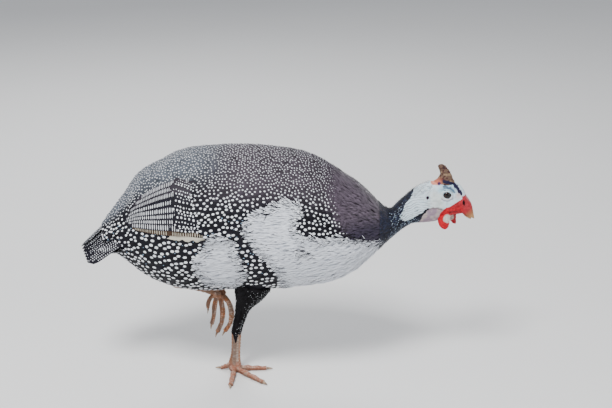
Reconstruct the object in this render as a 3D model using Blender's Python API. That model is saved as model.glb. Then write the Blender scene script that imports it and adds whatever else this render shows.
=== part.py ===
"""A helmeted guinea fowl of the pied pearl breed, life-size, in mid-step: it stands on its right foot,
holds the left one up under its belly, and stretches its neck forward. It faces +X, its right side is
towards -Y, and its foot rests on z = 0. Lengths are in metres and angles in degrees."""

import math

import bmesh
import bpy
from mathutils import Matrix, Vector

GAP = 0.0003  # between pieces that meet
SIDES = {"right": -1, "left": 1}  # the sign of y

# The body from the rump to the bill's root: each section's middle (x, z), its lean back, half its height
# and half its width. The back is at 0.33 and the belly at 0.125.
BODY = (
    (-0.2350, 0.2020, 0, 0.0070, 0.0070),
    (-0.2240, 0.2050, 0, 0.0210, 0.0200),
    (-0.2040, 0.2145, 0, 0.0440, 0.0335),
    (-0.1870, 0.2205, 0, 0.0650, 0.0430),
    (-0.1688, 0.2215, 0, 0.0785, 0.0520),
    (-0.1355, 0.2225, 0, 0.0925, 0.0625),
    (-0.1021, 0.2255, 0, 0.0995, 0.0685),
    (-0.0649, 0.2280, 0, 0.1005, 0.0720),
    (-0.0277, 0.2280, 0, 0.1000, 0.0735),
    (0.0095, 0.2272, 0, 0.0970, 0.0720),
    (0.0400, 0.2260, 0, 0.0920, 0.0680),
    (0.0693, 0.2212, 1, 0.0830, 0.0610),
    (0.0985, 0.2195, 4, 0.0665, 0.0510),
    (0.1185, 0.2255, 10, 0.0510, 0.0400),
    (0.1377, 0.2262, 17, 0.0320, 0.0275),
    (0.1510, 0.2249, 28, 0.0200, 0.0175),
    (0.1603, 0.2268, 36, 0.0156, 0.0146),
    (0.1694, 0.2344, 32, 0.0170, 0.0140),
    (0.1762, 0.2389, 22, 0.0194, 0.0140),
    (0.1862, 0.2438, 18, 0.0238, 0.0142),
    (0.1965, 0.2475, 16, 0.0266, 0.0146),
    (0.2067, 0.2506, 15, 0.0276, 0.0150),
    (0.2178, 0.2535, 14, 0.0262, 0.0146),
    (0.2283, 0.2548, 11, 0.0236, 0.0130),
    (0.2388, 0.2548, 8, 0.0220, 0.0108),
    (0.2440, 0.2530, 4, 0.0195, 0.0092),
)
NECK_STARTS, HEAD_STARTS = 15.0, 18.0  # places along BODY
BODY_RADIUS = 0.08  # about
HEAD_TAPER = 0.10  # how much narrower the crown is than the cheeks

# The bill beyond the head: middle, lean, half height and half width
BILL = (
    (0.2473, 0.2485, -1, 0.0161, 0.0080),
    (0.2496, 0.2442, -6, 0.0134, 0.0066),
    (0.2536, 0.2387, -20, 0.0104, 0.0048),
    (0.2570, 0.2318, -34, 0.0060, 0.0031),
    (0.2612, 0.2247, -50, 0.0014, 0.0012),
)
MOUTH_CORNER, MOUTH_TIP = Vector((0.2380, 0, 0.2392)), Vector((0.2606, 0, 0.2266))
NOSTRIL, NOSTRIL_SIZE = Vector((0.2480, 0.0078, 0.2496)), (0.0012, 0.0022, 0.0027)

EYE, EYE_RADIUS = Vector((0.2238, 0.0080, 0.2626)), 0.0068
LID_OPENING, LID_THICKNESS, LID_TURN = (0.0060, 0.0047), 0.0010, 8
LID_OUT = 0.70  # how far out on the eyeball its lids stand, as a share of its radius
EAR, EAR_SIZE, EAR_TURN = Vector((0.1979, 0.0150, 0.2590)), (0.0019, 0.0028, 0.0030), -12
EAR_RIM = 0.0009
BROW, BROW_SIZE, BROW_TURN = Vector((0.2250, 0.0112, 0.2702)), (0.0085, 0.0026, 0.0018), 12

# The bony casque: height, middle, half length and half width
CASQUE = (
    (0.2700, 0.2200, 0.0160, 0.0078),
    (0.2765, 0.2212, 0.0148, 0.0070),
    (0.2805, 0.2224, 0.0110, 0.0058),
    (0.2855, 0.2228, 0.0082, 0.0048),
    (0.2915, 0.2210, 0.0070, 0.0044),
    (0.2965, 0.2184, 0.0066, 0.0040),
    (0.2998, 0.2170, 0.0050, 0.0030),
    (0.3010, 0.2165, 0.0022, 0.0014),
)
CASQUE_DIP = 0.15  # how much the casque's sections slope down to the front

# A wattle from the gape down: height, middle in x, half width along x, and how far out from the head
WATTLE = (
    (0.2450, 0.2235, 0.0075, 0.0095),
    (0.2400, 0.2230, 0.0080, 0.0112),
    (0.2350, 0.2216, 0.0084, 0.0122),
    (0.2290, 0.2206, 0.0083, 0.0128),
    (0.2230, 0.2208, 0.0076, 0.0128),
    (0.2180, 0.2216, 0.0056, 0.0122),
    (0.2152, 0.2222, 0.0024, 0.0114),
)
WATTLE_THICKNESS, WATTLE_CUP = 0.0026, 0.0034
WATTLE_SHIFTS = {"right": (0, 0), "left": (0.0150, 50)}  # forward, and turned forward

# Each leg: x, y, z of the middle, half depth along x or the path's side, and half width
THIGH_RIGHT = (
    (-0.0330, -0.0230, 0.1560, 0.0380, 0.0250),
    (-0.0365, -0.0180, 0.1300, 0.0240, 0.0200),
    (-0.0430, -0.0130, 0.1130, 0.0142, 0.0140),
    (-0.0474, -0.0080, 0.0990, 0.0100, 0.0108),
    (-0.0515, -0.0035, 0.0830, 0.0082, 0.0086),
    (-0.0553, 0.0000, 0.0680, 0.0074, 0.0074),
    (-0.0566, 0.0008, 0.0603, 0.0071, 0.0068),
)
SHANK_RIGHT = (
    (-0.0568, 0.0010, 0.0600, 0.0069, 0.0064),
    (-0.0570, 0.0015, 0.0540, 0.0065, 0.0055),
    (-0.0577, 0.0030, 0.0400, 0.0061, 0.0048),
    (-0.0586, 0.0045, 0.0260, 0.0063, 0.0050),
    (-0.0596, 0.0055, 0.0170, 0.0077, 0.0070),
    (-0.0600, 0.0060, 0.0110, 0.0090, 0.0086),
    (-0.0600, 0.0060, 0.0045, 0.0086, 0.0082),
    (-0.0600, 0.0060, 0.0000, 0.0062, 0.0058),
)
THIGH_LEFT = (
    (-0.0780, 0.0340, 0.1640, 0.0260, 0.0200),
    (-0.0960, 0.0355, 0.1450, 0.0190, 0.0160),
    (-0.1150, 0.0365, 0.1320, 0.0120, 0.0110),
    (-0.1300, 0.0362, 0.1255, 0.0084, 0.0080),
    (-0.1400, 0.0360, 0.1220, 0.0070, 0.0066),
)
SHANK_LEFT = (
    (-0.1470, 0.0360, 0.1220, 0.0030, 0.0030),
    (-0.1430, 0.0360, 0.1210, 0.0074, 0.0066),
    (-0.1370, 0.0355, 0.1190, 0.0076, 0.0062),
    (-0.1250, 0.0345, 0.1165, 0.0056, 0.0048),
    (-0.1070, 0.0320, 0.1135, 0.0052, 0.0045),
    (-0.0930, 0.0300, 0.1110, 0.0060, 0.0056),
    (-0.0840, 0.0288, 0.1090, 0.0080, 0.0082),
    (-0.0770, 0.0278, 0.1065, 0.0076, 0.0078),
    (-0.0725, 0.0272, 0.1050, 0.0034, 0.0034),
)

# The standing foot's toes: the way each points, its length from the ball of the foot, its half width,
# and how high over the floor it leaves the ball
FOOT_MIDDLE = Vector((-0.0600, 0.0060, 0))
STANDING_TOES = {
    "inner": (4, 0.0440, 0.0040, 0.0),
    "middle": (-45, 0.0570, 0.0044, 0.0),
    "outer": (-94, 0.0490, 0.0041, 0.0),
    "hallux": (166, 0.0200, 0.0034, 0.0050),
}
TOE_ROOT = 0.0050  # from the foot's middle, inside the ball, which is then cut out of the toe
TOE_HEIGHT = 0.0092  # at the root
TOE_NECK = 0.74  # how much narrower the toes are where they crowd at the ball
CLAW_LENGTH = 0.0090

# The raised scale plates round each shank: their first and last place along it, and their number
SCUTES_RIGHT, SCUTES_LEFT = (0.75, 3.9, 9), (2.1, 4.9, 6)
SCUTE_RISE = 0.0004  # how far a plate stands out at its lower edge

# The raised foot's toes, which hang curled: the points of each path, and its half width
HANGING_TOES = {
    "inner": (((-0.0765, 0.0225, 0.1062), (-0.0680, 0.0172, 0.0990), (-0.0638, 0.0150, 0.0850),
               (-0.0655, 0.0142, 0.0690), (-0.0730, 0.0146, 0.0565)), 0.0041),
    "middle": (((-0.0790, 0.0275, 0.1050), (-0.0785, 0.0265, 0.0950), (-0.0765, 0.0262, 0.0810),
                (-0.0785, 0.0260, 0.0640), (-0.0845, 0.0260, 0.0500)), 0.0043),
    "outer": (((-0.0820, 0.0325, 0.1065), (-0.0858, 0.0374, 0.0970), (-0.0888, 0.0398, 0.0830),
               (-0.0902, 0.0400, 0.0680), (-0.0932, 0.0398, 0.0560)), 0.0040),
    "hallux": (((-0.0850, 0.0270, 0.1080), (-0.0925, 0.0262, 0.1015), (-0.0965, 0.0262, 0.0930),
                (-0.0968, 0.0262, 0.0860)), 0.0035),
}

# The folded wing, on the body's side: x, and the angle down from the back
WING_FRONT, WING_REAR, WING_TIPS = 0.0200, -0.1860, -0.1985
WING_TOP_FRONT, WING_TOP_REAR = 26, 30
WING_FOOT_FRONT, WING_FOOT_REAR = 94, 70
WING_SHOULDER_ROUNDING = 26  # how many degrees each edge turns in at the very front
WING_PAD = 0.0042  # how far the wing's arm and its coverts stand proud
WING_RIM = 0.0007  # how far the same skin stands proud at its rim
WING_DEPTH = 0.0040  # how far it reaches into the body, before the body is cut out of it
WING_ROOM, WING_ROOM_OUT, WING_ROOM_IN = 0.0030, 0.0110, 0.0060  # what the tail leaves free for a wing
VANE_THICKNESS = 0.0011
VANE_UNDERSIDE = 0.0016  # how deep a wing vane reaches into the tier under it
VANE_OUTLINE = ((0.0, 0.65), (0.45, 1.0), (0.86, 0.82), (1.0, 0.16))  # shares of its length and width
ROOT_SUNK = 0.0030  # how much lower a vane lies at its root
SHINGLE = 0.0012  # how far a vane's lower edge stands over the next vane

# The tiers of the folded wing, the lowest first, each from its lowest feather to its highest: their number,
# the (x, angle down) of the first and last root and of the first and last tip, how much further back the
# middle tips reach, the width, the height over the body first and last, and the sag first and last
WING_TIERS = {
    "primaries": (2, (-0.1000, 93), (-0.1040, 94.4), (-0.1840, 78), (-0.1720, 82.5), 0.0,
                  0.0120, (0.0012, 0.0010), (4, 4)),
    "secondaries": (7, (-0.1120, 89), (-0.1120, 35), (-0.1808, 74), (-0.1808, 28), 0.0152,
                    0.0160, (0.0024, 0.0035), (3, -2)),
    "tertials": (3, (-0.0900, 32), (-0.0900, 20), (-0.1600, 27), (-0.1400, 17), 0.0,
                 0.0170, (0.0034, 0.0034), (0, 0)),
    "greater_coverts": (7, (-0.0850, 92), (-0.0850, 32), (-0.1330, 88), (-0.1330, 34), 0.0040,
                        0.0178, (0.0042, 0.0042), (0, 0)),
    "median_coverts": (6, (-0.0500, 90), (-0.0500, 32), (-0.1050, 90), (-0.1050, 34), 0.0030,
                       0.0208, (0.0050, 0.0050), (0, 0)),
}

# The tiers of the tail, from its middle pair outwards: the number of pairs, the middle root, the step to the
# next root, the middle tip, the step to the next tip, the way the middle vane faces, the step to the way the
# next one faces, the width and the droop
TAIL_TIERS = {
    "tail_feathers": (7, (-0.1820, 0.0040, 0.2560), (0, 0.0032, -0.0066),
                      (-0.2605, 0.0035, 0.1875), (0.0020, 0.0046, -0.0020),
                      (-0.45, 0.10, 0.89), (0, 0.15, 0), 0.0190, 0.0030),
    "upper_coverts": (4, (-0.1760, 0.0050, 0.2860), (0, 0.0085, -0.0085),
                      (-0.2400, 0.0045, 0.2090), (0.0026, 0.0075, -0.0040),
                      (-0.60, 0.12, 0.78), (0, 0.26, 0), 0.0185, 0.0030),
    "short_coverts": (4, (-0.1680, 0.0050, 0.2990), (0, 0.0095, -0.0070),
                      (-0.2190, 0.0050, 0.2335), (0.0020, 0.0080, -0.0060),
                      (-0.66, 0.12, 0.75), (0, 0.28, 0), 0.0195, 0.0035),
    "under_coverts": (3, (-0.1880, 0.0040, 0.1800), (0, 0.0090, 0.0040),
                      (-0.2430, 0.0045, 0.1830), (0.0030, 0.0070, 0.0005),
                      (0, 0.10, -1), (0, 0.10, 0), 0.0170, 0.0020),
}
TAIL_SHINGLE, TAIL_UNDERSIDE = 0.0004, 0.0005
# The fleshy core of the tail: x, y, z, half depth and half width
TAIL_CORE = (
    (-0.1750, 0, 0.2330, 0.0260, 0.0280),
    (-0.2000, 0, 0.2190, 0.0210, 0.0250),
    (-0.2230, 0, 0.2040, 0.0125, 0.0190),
    (-0.2380, 0, 0.1955, 0.0050, 0.0110),
)

COLOURS = {
    "plumage": ((0.030, 0.030, 0.036, 1), 0.65),
    "collar": ((0.070, 0.062, 0.085, 1), 0.60),
    "bare_skin": ((0.640, 0.720, 0.760, 1), 0.55),
    "casque": ((0.420, 0.270, 0.190, 1), 0.60),
    "bill": ((0.560, 0.200, 0.130, 1), 0.40),
    "wattle": ((0.620, 0.030, 0.030, 1), 0.45),
    "eye": ((0.020, 0.012, 0.010, 1), 0.08),
    "leg": ((0.560, 0.300, 0.180, 1), 0.50),
    "claw": ((0.260, 0.180, 0.120, 1), 0.35),
}


def clear_scene():
    for obj in list(bpy.data.objects):
        bpy.data.objects.remove(obj)
    for old in list(bpy.data.collections):
        bpy.data.collections.remove(old)


def collection(name):
    made = bpy.data.collections.new(name)
    bpy.context.scene.collection.children.link(made)
    return made


def material(name):
    found = bpy.data.materials.get(name)
    if found:
        return found
    colour, roughness = COLOURS[name]
    made = bpy.data.materials.new(name)
    made.use_nodes = True
    shader = made.node_tree.nodes["Principled BSDF"]
    shader.inputs["Base Color"].default_value = colour
    shader.inputs["Roughness"].default_value = roughness
    return made


def between(stations, place):
    """The numbers at a place along the stations, on a smooth curve through them."""
    last = len(stations) - 1
    i = min(max(int(math.floor(place)), 0), last - 1)
    t = place - i
    a, b, c, d = (stations[min(max(k, 0), last)] for k in (i - 1, i, i + 1, i + 2))
    return [
        0.5 * (2 * q + (r - p) * t + (2 * p - 5 * q + 4 * r - u) * t * t + (3 * q - p - 3 * r + u) * t ** 3)
        for p, q, r, u in zip(a, b, c, d)
    ]


def section(numbers, around, grow=0.0, taper=0.0):
    """A closed ring round a section of the body or bill, from its top."""
    x, z, lean, half_height, half_width = numbers
    lean = math.radians(lean)
    up = Vector((-math.sin(lean), 0, math.cos(lean)))
    ring = []
    for k in range(around):
        angle = 2 * math.pi * k / around
        width = (half_width + grow) * (1 - taper * math.cos(angle))
        side = Vector((0, width * math.sin(angle), 0))
        ring.append(Vector((x, 0, z)) + up * (half_height + grow) * math.cos(angle) + side)
    return ring


def loft(rings):
    """A closed mesh through rings of the same count, with flat ends."""
    bm = bmesh.new()
    rows = [[bm.verts.new(p) for p in ring] for ring in rings]
    around = len(rings[0])
    for row, after in zip(rows, rows[1:]):
        for k in range(around):
            m = (k + 1) % around
            bm.faces.new((row[k], row[m], after[m], after[k]))
    bm.faces.new(rows[0])
    bm.faces.new(reversed(rows[-1]))
    return closed(bm)


def closed(bm):
    """The bmesh as a mesh, triangulated and with its faces pointing out."""
    bmesh.ops.triangulate(bm, faces=bm.faces)
    bmesh.ops.recalc_face_normals(bm, faces=bm.faces)
    if bm.calc_volume(signed=True) < 0:
        bmesh.ops.reverse_faces(bm, faces=bm.faces)
    mesh = bpy.data.meshes.new("piece")
    bm.to_mesh(mesh)
    bm.free()
    return mesh


def tube(stations, around, steps, grow=0.0, flat=None, scutes=None):
    """A closed mesh round a path in space. Each station is x, y, z, half depth and half width. The rings
    stand across the path, and one axis of each lies in the plane of x and z. flat is a level that none goes
    below. scutes is the first and last place that raised scale plates circle it, and their number."""
    last = len(stations) - 1
    places = [k / steps for k in range(steps * last + 1)]
    rises = {}
    if scutes:
        first, end, number = scutes
        places = [place for place in places if not first <= place <= end]
        for k in range(number):
            upper, lower = (first + (end - first) * (k + share) / number for share in (0.06, 0.94))
            rises[upper], rises[lower] = -SCUTE_RISE / 2, SCUTE_RISE
        places = sorted(places + list(rises))
    points = [between(stations, place) for place in places]
    for place, numbers in zip(places, points):
        numbers[3] += rises.get(place, 0)
        numbers[4] += rises.get(place, 0)
    middles = [Vector(p[:3]) for p in points]
    rings = []
    for k, numbers in enumerate(points):
        ahead = (middles[min(k + 1, len(middles) - 1)] - middles[max(k - 1, 0)]).normalized()
        depth = Vector((0, 1, 0)).cross(ahead).normalized()
        width = ahead.cross(depth)
        ring = []
        for m in range(around):
            angle = 2 * math.pi * m / around
            point = middles[k] + depth * (numbers[3] + grow) * math.cos(angle)
            point += width * (numbers[4] + grow) * math.sin(angle)
            if flat is not None:
                point.z = max(point.z, flat)
            ring.append(point)
        rings.append(ring)
    return loft(rings)


def ellipsoid(middle, size, turn=0.0, detail=(16, 10)):
    bm = bmesh.new()
    turned = Matrix.Translation(middle) @ Matrix.Rotation(math.radians(turn), 4, "Y")
    place = turned @ Matrix.Diagonal((*size, 1))
    bmesh.ops.create_uvsphere(bm, u_segments=detail[0], v_segments=detail[1], radius=1, matrix=place)
    return closed(bm)


def ring_round(middle, opening, thickness, turn, detail=(16, 6)):
    """A rim round an oval opening in a surface that faces along y. Its far side leans in with the head."""
    spin = Matrix.Translation(middle) @ Matrix.Rotation(math.radians(turn), 4, "Y")
    around, across = detail
    bm = bmesh.new()
    rows = []
    for k in range(around):
        angle = 2 * math.pi * k / around
        out = Vector((math.cos(angle), 0, math.sin(angle)))
        row = []
        for m in range(across):
            turned = 2 * math.pi * m / across
            reach = thickness * math.cos(turned)
            away = thickness * math.sin(turned)
            edge = Vector((out.x * (opening[0] + reach), away, out.z * (opening[1] + reach)))
            row.append(bm.verts.new(spin @ edge))
        rows.append(row)
    for k in range(around):
        row, after = rows[k], rows[(k + 1) % around]
        for m in range(across):
            n = (m + 1) % across
            bm.faces.new((row[m], row[n], after[n], after[m]))
    return closed(bm)


def mirrored(point, side):
    return Vector((point[0], abs(point[1]) * side, point[2]))


def largest(mesh):
    """The mesh with only its largest closed surface kept."""
    bm = bmesh.new()
    bm.from_mesh(mesh)
    left = set(bm.faces)
    shells = []
    while left:
        stack = [left.pop()]
        shell = list(stack)
        while stack:
            for edge in stack.pop().edges:
                for face in edge.link_faces:
                    if face in left:
                        left.remove(face)
                        stack.append(face)
                        shell.append(face)
        shells.append(shell)
    best = max(shells, key=len)
    drop = [f for shell in shells if shell is not best for f in shell]
    bmesh.ops.delete(bm, geom=drop, context="FACES")
    return closed(bm)


def node(name, mesh, colour, smooth=True):
    """The mesh as a named object in the bird's collection."""
    mesh.name = name
    obj = bpy.data.objects.new(name, mesh)
    obj.data.materials.clear()
    obj.data.materials.append(material(colour))
    bpy.data.collections["guinea_fowl"].objects.link(obj)
    if smooth:
        mesh.shade_smooth()
        mesh.set_sharp_from_angle(angle=math.radians(40))
    return obj


def combined(base, others, operation, solver="EXACT"):
    """base joined with, or cut by, the other meshes, all at once."""
    if not others:
        return base
    pieces = collection("pieces")
    target = bpy.data.objects.new("target", base)
    bpy.context.scene.collection.objects.link(target)
    for mesh in others:
        pieces.objects.link(bpy.data.objects.new("piece", mesh))
    boolean = target.modifiers.new("join", "BOOLEAN")
    boolean.operation = operation
    boolean.operand_type = "COLLECTION"
    boolean.collection = pieces
    boolean.solver = solver
    graph = bpy.context.evaluated_depsgraph_get()
    made = bpy.data.meshes.new_from_object(target.evaluated_get(graph))
    for obj in list(pieces.objects) + [target]:
        bpy.data.objects.remove(obj)
    bpy.data.collections.remove(pieces)
    return largest(made)


def joined(base, others, solver="EXACT"):
    return combined(base, others, "UNION", solver)


def cut(base, cutters, solver="EXACT"):
    return combined(base, cutters, "DIFFERENCE", solver)


def body_length(start, end, steps, around, grow=0.0, taper=0.0):
    """A length of the body between two places along BODY."""
    places = [start + (end - start) * k / steps for k in range(steps + 1)]
    return loft([section(between(BODY, place), around, grow, taper) for place in places])


def place_of(x):
    """The place along BODY of the section whose middle is at x."""
    low, high = 0.0, NECK_STARTS
    for _ in range(40):
        middle = (low + high) / 2
        low, high = (middle, high) if between(BODY, middle)[0] < x else (low, middle)
    return low


def on_body(x, angle, side, out):
    """The point on the body's surface at x, an angle down from the back, and a height over the surface."""
    middle, height, lean, half_height, half_width = between(BODY, place_of(x))
    turn = math.radians(angle)
    up = Vector((-math.sin(math.radians(lean)), 0, math.cos(math.radians(lean))))
    across = Vector((0, side * (half_width + out) * math.sin(turn), 0))
    return Vector((middle, 0, height)) + up * (half_height + out) * math.cos(turn) + across


def vane_rings(place, width, thickness, shingle, under):
    """The rings of a feather vane. place(t, across, height) gives a point at t along it."""
    rings = []
    for t, share in VANE_OUTLINE:
        half = width * share / 2
        rings.append([
            place(t, half, shingle),
            place(t, 0, thickness),
            place(t, -half, -0.3 * shingle),
            place(t, 0, -under),
        ])
    return rings


def vane_on_body(side, root, tip, width, lift, bow):
    """A vane that lies along the body from root to tip, each x and angle down. bow lowers its middle, and its
    root is sunk in the tier before it."""

    def place(t, across, height):
        x = root[0] + (tip[0] - root[0]) * t
        angle = root[1] + (tip[1] - root[1]) * t + bow * math.sin(math.pi * t)
        here = on_body(x, angle, side, lift)
        down = on_body(x, angle + 1, side, lift) - here
        rear = on_body(x - 0.001, angle, side, lift) - here
        slope = ((tip[1] - root[1]) + bow * math.pi * math.cos(math.pi * t)) * down.length
        run = abs(tip[0] - root[0]) * rear.length / 0.001
        lean = math.atan2(slope, run)
        x += across * math.sin(lean) * 0.001 / rear.length
        angle += across * math.cos(lean) / down.length
        return on_body(x, angle, side, lift - ROOT_SUNK * (1 - t) ** 2 + height)

    return loft(vane_rings(place, width, VANE_THICKNESS, SHINGLE, VANE_UNDERSIDE))


def free_vane(root, tip, width, facing, droop):
    """A vane from root to tip in space, with its upper face towards facing."""
    along = (tip - root).normalized()
    across_it = along.cross(facing).normalized()
    up = across_it.cross(along)

    def place(t, across, height):
        sag = droop * math.sin(math.pi * t)
        return root.lerp(tip, t) + across_it * across + up * (height + sag)

    return loft(vane_rings(place, width, VANE_THICKNESS, TAIL_SHINGLE, TAIL_UNDERSIDE))


def torso():
    mesh = body_length(0, NECK_STARTS, 26, 28)
    return node("torso", mesh, "plumage")


def neck():
    first = NECK_STARTS + GAP / span_at(NECK_STARTS)
    last = HEAD_STARTS - GAP / span_at(HEAD_STARTS)
    return node("neck", body_length(first, last, 5, 20), "collar")


def mix(a, b, share):
    """The numbers that lie a share of the way from a to b."""
    return [p + (q - p) * share for p, q in zip(a, b)]


def span_at(place):
    """The length from one station of BODY to the next."""
    here, after = between(BODY, place), between(BODY, place + 1)
    return math.hypot(after[0] - here[0], after[1] - here[1])


def head_core(grow=0.0):
    return body_length(HEAD_STARTS, len(BODY) - 1, 11, 22, grow, HEAD_TAPER)


def head():
    forms, holes = [], []
    for side in SIDES.values():
        forms.append(ellipsoid(mirrored(BROW, side), BROW_SIZE, BROW_TURN, (10, 6)))
        lid = Vector((EYE.x, side * (EYE.y + EYE_RADIUS * LID_OUT), EYE.z))
        opening = [size + LID_THICKNESS * 0.5 for size in LID_OPENING]
        forms.append(ring_round(lid, opening, LID_THICKNESS * 1.25, LID_TURN))
        rim = Vector((EAR.x, side * (EAR.y - EAR_RIM), EAR.z))
        opening = (EAR_SIZE[0] + EAR_RIM, EAR_SIZE[2] + EAR_RIM * 0.7)
        forms.append(ring_round(rim, opening, EAR_RIM, EAR_TURN, (10, 5)))
        holes.append(ellipsoid(mirrored(EYE, side), (EYE_RADIUS + GAP,) * 3))
        holes.append(ellipsoid(mirrored(EAR, side), EAR_SIZE, EAR_TURN, (10, 6)))
    whole = joined(head_core(), forms)
    return node("head", cut(whole, holes), "bare_skin")


def eyes():
    for name, side in SIDES.items():
        node(f"eye_{name}", ellipsoid(mirrored(EYE, side), (EYE_RADIUS,) * 3), "eye")


def split(mesh, point, normal):
    """The side of a closed mesh that a plane's normal points away from, with the cut filled."""
    bm = bmesh.new()
    bm.from_mesh(mesh)
    geometry = bm.verts[:] + bm.edges[:] + bm.faces[:]
    bmesh.ops.bisect_plane(bm, geom=geometry, plane_co=point, plane_no=normal, clear_outer=True)
    bmesh.ops.holes_fill(bm, edges=[e for e in bm.edges if e.is_boundary])
    return closed(bm)


def bill():
    """The upper and lower bill, parted by the line of the mouth."""
    end = len(BODY) - 1
    root = between(BODY, end)
    lean = math.radians(root[2])
    ahead = Vector((math.cos(lean), 0, math.sin(lean))) * GAP
    first = [root[0] + ahead.x, root[1] + ahead.z, *root[2:]]
    stations = [first, *BILL]
    last = len(stations) - 1
    places = [last * k / (2 * last) for k in range(2 * last + 1)]
    whole = loft([section(between(stations, place), 16) for place in places])
    along = (MOUTH_TIP - MOUTH_CORNER).normalized()
    above = Vector((-along.z, 0, along.x))
    upper = split(whole, MOUTH_CORNER + above * GAP / 2, -above)
    lower = split(whole, MOUTH_CORNER - above * GAP / 2, above)
    nostrils = [ellipsoid(mirrored(NOSTRIL, side), NOSTRIL_SIZE, 10, (10, 6)) for side in SIDES.values()]
    node("bill_upper", cut(upper, nostrils), "bill")
    tip_of_lower = Vector((MOUTH_TIP.x - 0.0030, 0, MOUTH_TIP.z))
    node("bill_lower", split(lower, tip_of_lower, along), "bill")


def casque():
    rings = []
    last = len(CASQUE) - 1
    for k in range(2 * last + 1):
        z, x, half_length, half_width = between(CASQUE, k / 2)
        ring = []
        for m in range(16):
            angle = 2 * math.pi * m / 16
            ahead = half_length * math.cos(angle)
            ring.append(Vector((x + ahead, half_width * math.sin(angle), z - CASQUE_DIP * ahead)))
        rings.append(ring)
    node("casque", cut(loft(rings), [head_core(GAP)]), "casque")


def wattles():
    last = len(WATTLE) - 1
    for name, side in SIDES.items():
        forward, turned = WATTLE_SHIFTS[name]
        turn = Matrix.Rotation(math.radians(-turned * side), 3, "Z")
        rings = []
        for k in range(2 * last + 1):
            z, x, half, out = between(WATTLE, k / 2)
            ring = []
            for m in range(12):
                angle = 2 * math.pi * m / 12
                across = half * math.cos(angle)
                cup = WATTLE_CUP * (across / 0.0084) ** 2
                y = -cup + WATTLE_THICKNESS / 2 * math.sin(angle)
                ring.append(Vector((x + forward, side * out, z)) + turn @ Vector((across, side * y, 0)))
            rings.append(ring)
        node(f"wattle_{name}", cut(loft(rings), [head_core(GAP)]), "wattle")


def wing_edges(x):
    """The upper and lower edge of the folded wing at x, as angles down from the back."""
    share = (WING_FRONT - x) / (WING_FRONT - WING_REAR)
    top = WING_TOP_FRONT + (WING_TOP_REAR - WING_TOP_FRONT) * share
    round_front = WING_SHOULDER_ROUNDING * max(0.0, 1 - share / 0.22) ** 2
    foot = WING_FOOT_FRONT + (WING_FOOT_REAR - WING_FOOT_FRONT) * max(0.0, (share - 0.55) / 0.45) ** 1.6
    return top + round_front, foot - round_front


def wing_patch(side, columns, rows, spread, outside, inside, rear=WING_REAR):
    """A closed skin over the body under the folded wing. outside gives its height over the body for shares
    of the way back and down, inside is its depth, and spread widens it all round."""
    heights, depths = [], []
    bm = bmesh.new()
    for i in range(columns):
        back = i / (columns - 1)
        x = WING_FRONT + spread + (rear - WING_FRONT - 2 * spread) * back
        top, foot = wing_edges(min(max(x, WING_REAR), WING_FRONT))
        wider = math.degrees(spread / BODY_RADIUS)
        shares = [j / (rows - 1) for j in range(rows)]
        angles = [top - wider + (foot - top + 2 * wider) * down for down in shares]
        heights.append([])
        for angle, down in zip(angles, shares):
            heights[-1].append(bm.verts.new(on_body(x, angle, side, outside(back, down))))
        depths.append([bm.verts.new(on_body(x, angle, side, inside)) for angle in angles])
    for a, b, c, d in zip(heights, heights[1:], depths, depths[1:]):
        for k in range(rows - 1):
            bm.faces.new((a[k], a[k + 1], b[k + 1], b[k]))
            bm.faces.new((c[k], d[k], d[k + 1], c[k + 1]))
    rim = [(i, 0) for i in range(columns)] + [(columns - 1, j) for j in range(1, rows)]
    rim += [(i, rows - 1) for i in range(columns - 2, -1, -1)] + [(0, j) for j in range(rows - 2, 0, -1)]
    for (i, j), (m, n) in zip(rim, rim[1:] + rim[:1]):
        bm.faces.new((heights[i][j], depths[i][j], depths[m][n], heights[m][n]))
    return closed(bm)


def pad_height(back, down):
    """The height of the folded arm's skin, which thins towards its rim."""
    rim = min(1.0, 2.8 * min(down, 1 - down)) * min(1.0, 3.2 * min(back, 1 - back))
    return WING_RIM + (WING_PAD - WING_RIM) * math.sin(rim * math.pi / 2)


def wing_vanes(side):
    """The flight feathers and coverts of a folded wing, the lowest tier first."""
    vanes = []
    for number, *ends, further, width, lifts, bows in WING_TIERS.values():
        first_root, last_root, first_tip, last_tip = ends
        for i in range(number):
            share = i / (number - 1)
            root = mix(first_root, last_root, share)
            tip = mix(first_tip, last_tip, share)
            tip[0] -= further * math.sin(math.pi * share)
            lift = lifts[0] + (lifts[1] - lifts[0]) * share
            bow = bows[0] + (bows[1] - bows[0]) * share
            vanes.append(vane_on_body(side, root, tip, width, lift, bow))
    return vanes


def wings(torso_cutter):
    for name, side in SIDES.items():
        pad = wing_patch(side, 12, 7, 0, pad_height, -WING_DEPTH)
        whole = joined(pad, wing_vanes(side))
        node(f"wing_{name}", cut(whole, [torso_cutter.copy()]), "plumage")


def tail_vanes():
    """The tail feathers and their coverts. The middle pair lies highest, and the fan falls like a roof."""
    vanes = []
    for side in SIDES.values():
        mirror = Vector((1, side, 1))
        for pairs, *places, width, droop in TAIL_TIERS.values():
            root, root_step, tip, tip_step, facing, facing_step = (Vector(place) * mirror for place in places)
            for k in range(pairs):
                ends = root + root_step * k, tip + tip_step * k
                vanes.append(free_vane(*ends, width, facing + facing_step * k, droop))
    return vanes


def tail(torso_cutter):
    whole = joined(tube(TAIL_CORE, 16, 2), tail_vanes())
    under_wings = []
    for side in SIDES.values():
        room = wing_patch(side, 9, 6, WING_ROOM, lambda back, down: WING_ROOM_OUT, -WING_ROOM_IN, WING_TIPS)
        under_wings.append(room)
    node("tail", cut(whole, [torso_cutter, *under_wings]), "plumage")


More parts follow.
